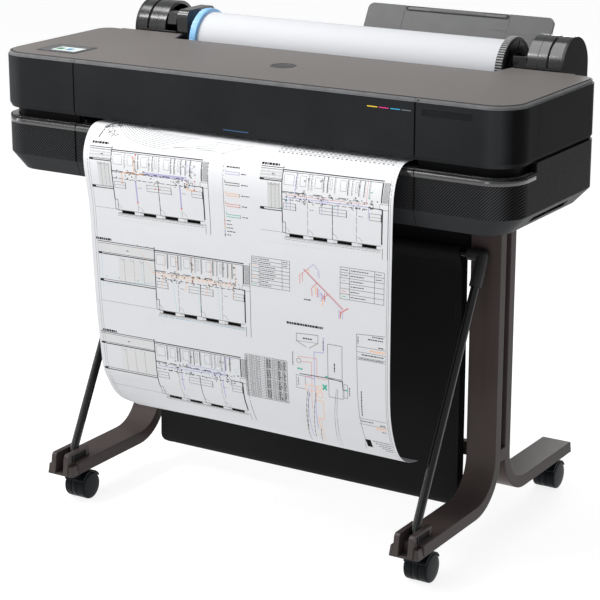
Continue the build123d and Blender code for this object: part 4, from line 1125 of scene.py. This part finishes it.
def emblem():
    """A plain disc in a shallow ring on the lid."""
    place = 9, 133.5
    ring, disc = Shape(), Shape()
    ring.turned_z([(22.6, LID_TOP - 0.4), (22.6, LID_TOP + 0.18), (22.0, LID_TOP + 0.38),
                   (20.6, LID_TOP + 0.38), (20.2, LID_TOP + 0.16), (20.2, LID_TOP - 0.4)], *place)
    ring.trim("emblem_ring", "lid_plastic", "root", (0.014, 0.013, 0.012), 0.3, 0.00002)
    disc.turned_z([(0.02, LID_TOP - 0.4), (19.9, LID_TOP - 0.4), (19.9, LID_TOP + 0.12),
                   (14.0, LID_TOP + 0.22), (0.02, LID_TOP + 0.26)], *place)
    disc.trim("emblem_disc", "lid_plastic", "root", (0.036, 0.033, 0.031), 0.36, 0.00003)


def glowing(shape, name, colour, strength=0.35):
    """A lit piece of the display."""
    made = colour_finish(name, colour, 0.2)
    made.set({"Emission Color": (*colour, 1.0), "Emission Strength": strength})
    shape.piece(name, "display", material=made.material)


def display_screen():
    """The lit page under the display glass: a blank page with two round buttons."""
    top = span("display_glass")[1][2]
    page, footer, lamps, trim = Shape(), Shape(), Shape(), Shape()
    slab(page, -427, -374, 55.5, 90.5, top - 0.05, top + 0.05, 1.0)
    glowing(page, "screen_page", (0.68, 0.74, 0.74), 0.22)
    for name, x, colour in (("left", -417, (0.01, 0.20, 0.07)), ("right", -397, (0.04, 0.24, 0.40))):
        button = Shape()
        slab(button, x - 6.5, x + 6.5, 65, 81, top, top + 0.12, 3.5)
        glowing(button, "screen_button_" + name, colour)
    for i in range(3):
        slab(footer, -422 + 15 * i, -413 + 15 * i, 58.5, 60, top, top + 0.1, 0.6)
    glowing(footer, "screen_footer", (0.25, 0.38, 0.44))
    for x in (-427, -407):
        slab(lamps, x, x + 3.6, 45.8, 48.0, top - 0.3, top + 0.1, 0.9)
    glowing(lamps, "display_lamps", (0.22, 0.24, 0.50), 0.2)
    (x0, d0, _), (x1, d1, _) = span("display_bezel")
    corner = 5.0
    section = [(-1.2, LID_TOP - 0.2), (-1.2, LID_TOP + 0.25), (-0.2, LID_TOP + 0.25), (-0.2, LID_TOP - 0.2)]
    trim.loft([[point(x + (corner - out) * math.cos(a), d + (corner - out) * math.sin(a), z)
                for out, z in section] for x, d, a in rounded(x0, x1, d0, d1, corner, 6)], True)
    trim.trim("display_trim", "gloss_black", "root", (0.006, 0.006, 0.006), 0.4)


def slot_sill():
    """The gloss strip along the sill of the paper slot."""
    profile = [(0.6, 688.6), (-0.3, 689.0), (-0.35, 692.8), (0.0, 695.0), (0.7, 697.0), (1.8, 698.9),
               (3.4, 700.4), (6.0, 701.1), (14.0, 701.2), (14.0, 700.2), (3.0, 700.1), (2.0, 698.0),
               (1.2, 694.0)]
    corner = 55.0
    gap = 0.6
    left, middle, right = ([[point(x, d, z) for d, z in profile] for x in ends] for ends in
                           ((corner - BODY_HALF, -SEAM_X - gap), (gap - SEAM_X, SEAM_X - gap),
                            (SEAM_X + gap, BODY_HALF - corner)))
    left = sill_corner(profile, -1, corner) + left
    right += sill_corner(profile, 1, corner)[::-1]
    for name, rings in (("sill_left", left), ("sill_middle", middle), ("sill_right", right)):
        shape = Shape()
        shape.loft(rings)
        shape.trim(name, "gloss_black", "root", (0.008, 0.008, 0.0085), 0.20, 0.000004, coat=1.0, edge=0.0045,
                   specular=1.0)


def sill_corner(profile, side, corner, reach=84.0):
    """Rings of the sill from the side wall round the front corner."""
    rings = [[point(side * (BODY_HALF - d), reach, z) for d, z in profile]]
    for step in range(9):
        a = math.radians(90 - 90 * step / 8)
        rings.append([point(side * (BODY_HALF - corner + (corner - d) * math.sin(a)),
                            corner - (corner - d) * math.cos(a), z) for d, z in profile])
    return rings


def lid_gap():
    """The dark joint between the lid and the rim, round the front and both sides."""
    half, front, rear, corner, steps = 499.5, 7.8, 285.0, 48.0, 9
    front_corners = list(rounded(-half, half, front, rear, corner, steps))[2 * (steps + 1):]
    path = ([(corner - half, rear, math.pi)] + front_corners + [(half - corner, rear, 0)])
    section = ((0.05, 813.5), (1.3, 813.5), (1.3, 813.85), (0.05, 813.85))
    shape = Shape()
    shape.loft([[point(x + (corner + out) * math.cos(a), d + (corner + out) * math.sin(a), z)
                 for out, z in section] for x, d, a in path])
    shape.trim("lid_gap", "cover_plastic", "root", JOINT_BLACK, 0.7, specular=0.05)


def side_seams():
    """The upright joint in each side of the upper corner covers."""
    shape = Shape()
    for side in (-1, 1):
        a, b = sorted((side * (BODY_HALF - 0.3), side * (BODY_HALF + 0.04)))
        shape.bar((a, 86.7, 723.5), (b, 87.4, 808.0), 0.02)
    shape.trim("side_seams", "cover_plastic", "root", JOINT_BLACK, 0.7, specular=0.05)


def front_seams():
    """Painted shadow lines: black strips on the corner pieces, along the joint between them and the front
    pieces.
    """
    for name, z0, z1 in (("upper_seams", 723.5, 808.0), ("lower_seams", 634.5, 688.4)):
        shape = Shape()
        for side in (-1, 1):
            x0, x1 = sorted((side * (SEAM_X + 0.4), side * (SEAM_X + 2.3)))
            plate(x0, x1, z0, z1, 0.05, 0.3, shape)
        shape.trim(name, "cover_plastic", "root", (0.0012, 0.0012, 0.0012), 0.7, specular=0.05)


lid_gap()
side_seams()
front_seams()
front_marks()
emblem()
display_screen()
slot_sill()


# ---- roll, flanges and holders --------------------------------------------------------------------
def around_roll(x, radius, angle):
    return point(x, ROLL_D + radius * math.sin(angle), ROLL_Z + radius * math.cos(angle))


def flange_teeth(x0, x1, radius, teeth, share):
    """A ring of separate ribs round a flange's rim, each filling that share of its pitch."""
    shape = Shape()
    root_radius = 56.4
    half = math.pi / teeth * share
    for i in range(teeth):
        angle = 2 * math.pi * i / teeth
        shape.loft([[around_roll(x, r, a) for r, a in
                     ((root_radius, angle - half), (radius - drop, angle - half * 0.8),
                      (radius - drop, angle + half * 0.8), (root_radius, angle + half))]
                    for x, drop in ((x0, 0.6), (x0 + 0.6, 0), (x1 - 0.6, 0), (x1, 0.6))])
    return shape


def flange_face(x, out):
    """Raised rings and spokes on the outer face of a flange."""
    shape = Shape()
    outer = 54.0
    sunk, far = x - out * 0.3, x + out * 0.9
    for inner, rim in ((outer - 3, outer), (30.0, 33.0)):
        shape.turned_x([(sunk, inner), (far, inner + 0.4), (far, rim - 0.4), (sunk, rim)], ROLL_D, ROLL_Z)
    for i in range(8):
        a = math.radians(45 * i + 10)
        rings = []
        for r in (32.0, outer - 2):
            d, z = ROLL_D + r * math.sin(a), ROLL_Z + r * math.cos(a)
            rings.append([point(level, d + s * math.cos(a), z - s * math.sin(a)) for level, s in
                          ((sunk, -1.4), (sunk, 1.4), (x + out * 0.8, 1.1), (x + out * 0.8, -1.1))])
        shape.loft(rings)
    return shape


def flanges():
    right, left = span("flange_right")[1][0], span("flange_left")[0][0]
    teeth = flange_teeth(ROLL_RIGHT + 0.8, right - 1.0, 58.3, 76, 0.52)
    pale = moulded("flange_rib", (0.34, 0.34, 0.34), 0.25, 0.00002).material
    teeth.piece("flange_right_teeth", "flange_black", "spindle", pale, 25)
    flange_face(right, 1).piece("flange_right_face", "flange_black", "spindle")
    teeth = flange_teeth(left + 0.5, ROLL_LEFT - 5.0, 57.7, 10, 0.97)
    sky = moulded("flange_light_blue", (0.42, 0.66, 0.90), 0.4, 0.00003).material
    teeth.piece("flange_left_teeth", "flange_blue", "movable_flange", sky, 25)
    flange_face(left, -1).piece("flange_left_face", "flange_blue", "movable_flange")


HOLDER_D, HOLDER_Z, HOLDER_R = 374.0, 816.0, 50.5
HOLDER_END = 437.0


def arch(radius, foot):
    """A holder's outline seen from the side, up from one foot, over the arch and down to the other."""
    turns = [math.radians(7.5 * step) for step in range(-12, 13)]
    over = [(radius * math.sin(a), HOLDER_Z + radius * math.cos(a)) for a in turns]
    return [(-radius, foot)] + over + [(radius, foot)]


def arch_band(x0, x1, proud):
    """A thin band over a holder's arch, down to its foot."""
    shape = Shape()
    foot = 786
    shape.loft([[point(x, HOLDER_D + d, z) for x, (d, z) in ((x0, low), (x0, high), (x1, high), (x1, low))]
                for low, high in zip(arch(HOLDER_R - 1.2, foot), arch(HOLDER_R + proud, foot))])
    return shape


def holder_trims():
    """The seam, the edge band and the matt end cover of each holder, and the grip of the lever."""
    for side, place in ((-1, "left"), (1, "right")):
        seam = arch_band(*sorted((side * 388.5, side * 389.3)), 0.12)
        seam.trim(f"holder_seam_{place}", "holder_plastic", "root", (0.010, 0.010, 0.010))
        band = arch_band(*sorted((side * HOLDER_END, side * (HOLDER_END - 5))), 0.35)
        band.trim(f"holder_edge_{place}", "holder_plastic", "root", (0.016, 0.016, 0.017), 0.36, 0.00003)
        cap = Shape()
        cap.loft([[point(side * x, HOLDER_D + d, z) for d, z in arch(HOLDER_R - 0.6, 787)]
                  for x in (HOLDER_END - 0.4, HOLDER_END + 0.15)])
        cap.trim(f"holder_cap_{place}", "holder_plastic", "root", (0.0085, 0.0085, 0.0090), 0.55, 0.00004,
                 specular=0.06)
    grip = Shape()
    for i in range(5):
        depth = 334.5 + i * 3.4
        grip.bar((-365.2, depth, 850.7), (-347.8, depth + 1.5, 851.8), 0.3)
    grip.trim("lever_grip", "holder_plastic", "holder_lever", (0.055, 0.055, 0.057), 0.3, 0.00002)


flanges()
holder_trims()


# ---- sheet tray -----------------------------------------------------------------------------------
TRAY_LEAN = math.radians(29)
TRAY_HINGE = (431.0, 791.0)


def on_tray(outline, low, high):
    """An (x, slope) outline, with the slope measured up from the hinge, at two heights off the tray."""
    return [[point(x, TRAY_HINGE[0] + slope * math.sin(TRAY_LEAN) - lift * math.cos(TRAY_LEAN),
                   TRAY_HINGE[1] + slope * math.cos(TRAY_LEAN) + lift * math.sin(TRAY_LEAN))
             for x, slope in outline] for lift in (low, high)]


def tray_bar(x0, x1, s0, s1, proud):
    """A bar on the tray with round ends, seen square on."""
    r = (s1 - s0) / 2
    outline = []
    for x, start in ((x1 - r, -90), (x0 + r, 90)):
        turns = [math.radians(start + 22.5 * k) for k in range(9)]
        outline += [(x + r * math.cos(a), s0 + r + r * math.sin(a)) for a in turns]
    shape = Shape()
    shape.loft(on_tray(outline, 2.3, proud))
    return shape


def tray_details():
    marks = Shape()
    for s, x0, x1 in ((66, 232, 262), (62, 268, 332), (56, 276, 320)):
        for x in range(x0, x1, 8):
            marks.loft(on_tray([(x, s), (x + 5, s), (x + 5, s + 0.8), (x, s + 0.8)], 2.2, 2.72))
    marks.trim("tray_embossing", "tray_plastic", "sheet_tray", (0.085, 0.085, 0.087))
    # Painted shade: a flat black plate round the grip stands in for the shade of the hollow that the grip
    # sits in.
    recess_shade = tray_bar(57.5, 263.5, 88.2, 97.4, 2.75)
    recess_shade.trim("tray_grip_recess", "tray_plastic", "tray_extension", (0.004, 0.004, 0.004), 0.5, 0.00004)
    grip = tray_bar(62.0, 259.0, 90.4, 95.2, 3.9)
    grip.trim("tray_grip", "tray_plastic", "tray_extension", (0.080, 0.080, 0.082), 0.32, 0.00004)


tray_details()


# ---- stand ----------------------------------------------------------------------------------------
def stand_screws():
    """Domed socket screws in the outer face of each rear leg, under the body."""
    shape = Shape()
    for side in (-1, 1):
        for depth, z in ((234, 590), (272, 590), (234, 571), (272, 571)):
            profile = ((-0.3, 4.2), (1.2, 4.2), (2.0, 3.36), (2.2, 2.1), (0.9, 2.016), (0.9, 0.02))
            shape.turned_x([(side * (LEG_X + LEG_HALF + out), r) for out, r in profile], depth, z, 24)
    finish = metal("screw_black", (0.05, 0.048, 0.047), 0.35)
    shape.piece("stand_screws", "steel_shaft", "root", finish.material)


def foot_trims():
    """Painted shade and painted highlight on the pockets in the fins of each foot block: a black plate on
    each pocket's floor and lighter bars round each pocket's rim.
    """
    for side, place in ((-1, "left"), (1, "right")):
        rim_highlights, pocket_shadows = Shape(), Shape()
        for fin in (-1, 1):
            outer = side * LEG_X + fin * 18.5
            for x0, x1, d0, d1, z0, z1 in ((-0.2, 0.7, -41, 5, 97.6, 98.6), (-0.2, 0.7, -41, 5, 84.6, 85.4),
                                           (-0.2, 0.7, -41, -40, 84.6, 98.6), (-0.2, 0.7, 4, 5, 84.6, 98.6),
                                           (-1.7, 0.1, -33, -32.2, 85, 98)):
                a, b = sorted((outer + fin * x0, outer + fin * x1))
                rim_highlights.bar((a, d0, z0), (b, d1, z1), 0.3)
            a, b = sorted((outer - fin * 2.1, outer - fin * 1.7))
            pocket_shadows.bar((a, -39.9, 85.1), (b, 3.9, 97.9), 0.1)
        # Painted highlight: lighter bars on the pocket edges; painted shadow: a black plate that makes each
        # shallow pocket look deep.
        rim_highlights.trim(f"foot_rim_highlights_{place}", "foot_plastic", "root", (0.060, 0.052, 0.050), 0.34)
        pocket_shadows.trim(f"foot_pocket_shadows_{place}", "foot_plastic", "root", (0.002, 0.002, 0.002), 0.7)


WHEEL_R = 25.0
WHEEL_X = 13.5
CAP_PROFILE = ((7.1, 24.4), (7.9, 23.2), (8.5, 20.0), (9.0, 12.0), (9.2, 4.0), (9.2, 0.02), (7.1, 0.02))
TREAD_PROFILE = ((-7.1, 23.6), (-6.6, 24.95), (4.9, 24.95), (5.4, 24.5))
CASTING_PROFILE = ((-5.8, 8.0), (-5.8, 24.3), (-5.2, 24.8), (5.2, 24.8), (5.8, 24.3), (5.8, 8.0))


def caster_trims():
    """Domed wheel covers, soft treads, and the casting that fills the gap between twin wheels."""
    for depth, end in ((13.0, "front"), (509.0, "rear")):
        for side, place in ((-1, "left"), (1, "right")):
            caps, treads, casting = Shape(), Shape(), Shape()
            for shape, profile in ((caps, CAP_PROFILE), (treads, TREAD_PROFILE)):
                for out in (-1, 1):
                    wheel = [(side * LEG_X + out * (WHEEL_X + x), r) for x, r in profile]
                    shape.turned_x(wheel, depth, WHEEL_R)
            casting.turned_x([(side * LEG_X + x, r) for x, r in CASTING_PROFILE], depth, WHEEL_R)
            corner = f"{end}_{place}"
            caps.piece("caster_caps_" + corner, "caster_plastic", "wheels_" + corner, crease=50)
            treads.trim("caster_tread_" + corner, "rubber_black", "wheels_" + corner,
                        (0.0046, 0.0060, 0.0078), 0.40, 0.00010, specular=0.10)
            casting.piece("caster_body_" + corner, "caster_plastic", "caster_" + corner, crease=50)


stand_screws()
foot_trims()
caster_trims()


# ---- floor, light and camera ----------------------------------------------------------------------
def stage():
    mesh = bpy.data.meshes.new("floor")
    size = 14.0
    corners = [(-size, -size, 0), (size, -size, 0), (size, size, 0), (-size, size, 0)]
    mesh.from_pydata(corners, [], [(0, 1, 2, 3)])
    finish = Finish("floor", roughness=0.9, specular=0.1)
    finish.colour(finish.mottle((0.30, 0.30, 0.30), 0.01, 1.0))
    finish.set({"Emission Color": (1, 1, 1, 1), "Emission Strength": 0.84})
    mesh.materials.append(finish.material)
    floor = place_in_scene("floor", mesh)


def soft_light(name, place, target, size, power):
    light = bpy.data.lights.new(name, "AREA")
    light.shape = "RECTANGLE"
    light.size, light.size_y = size
    light.energy = power
    obj = place_in_scene(name, light)
    obj.location = place
    obj.rotation_mode = "QUATERNION"
    obj.rotation_quaternion = (Vector(target) - Vector(place)).to_track_quat("-Z", "Y")


def lights():
    world = bpy.data.worlds.new("studio")
    bpy.context.scene.world = world
    world.use_nodes = True
    background = world.node_tree.nodes["Background"]
    background.inputs["Color"].default_value = (0.98, 0.99, 1.0, 1)
    background.inputs["Strength"].default_value = 0.40
    soft_light("top", (-0.8, -0.55, 3.0), (-0.1, -0.2, 0.7), (2.4, 1.7), 34)
    soft_light("key", (-1.6, -1.9, 2.7), (0.0, 0, 0.5), (1.3, 0.7), 32)
    soft_light("left", (-2.6, -1.2, 1.3), (0.1, -0.1, 0.5), (0.35, 1.8), 10)
    soft_light("front", (0.3, -4.2, 1.6), (0, 0, 0.5), (0.7, 1.8), 10)
    soft_light("glint", (-1.45, -0.65, 2.9), (0, -0.1, 0.75), (1.0, 0.18), 15)
    soft_light("low", (-1.5, -2.1, 1.5), (0.3, 0.1, 0.8), (0.4, 0.9), 3)
    soft_light("rear", (0.05, 1.5, 0.85), (0.3, 0.3, 0.1), (0.5, 0.5), 7)


def camera():
    data = bpy.data.cameras.new("camera")
    data.sensor_width = 36.0
    data.lens = 122.84
    data.clip_start, data.clip_end = 0.05, 60.0
    obj = place_in_scene("camera", data)
    obj.location = (1.83267, -3.01221, 1.41976)
    obj.rotation_euler = (math.radians(90 - 16.54), 0.0, math.radians(31.69))
    bpy.context.scene.camera = obj


stage()
lights()
camera()
bpy.context.scene.view_settings.view_transform = "Standard"
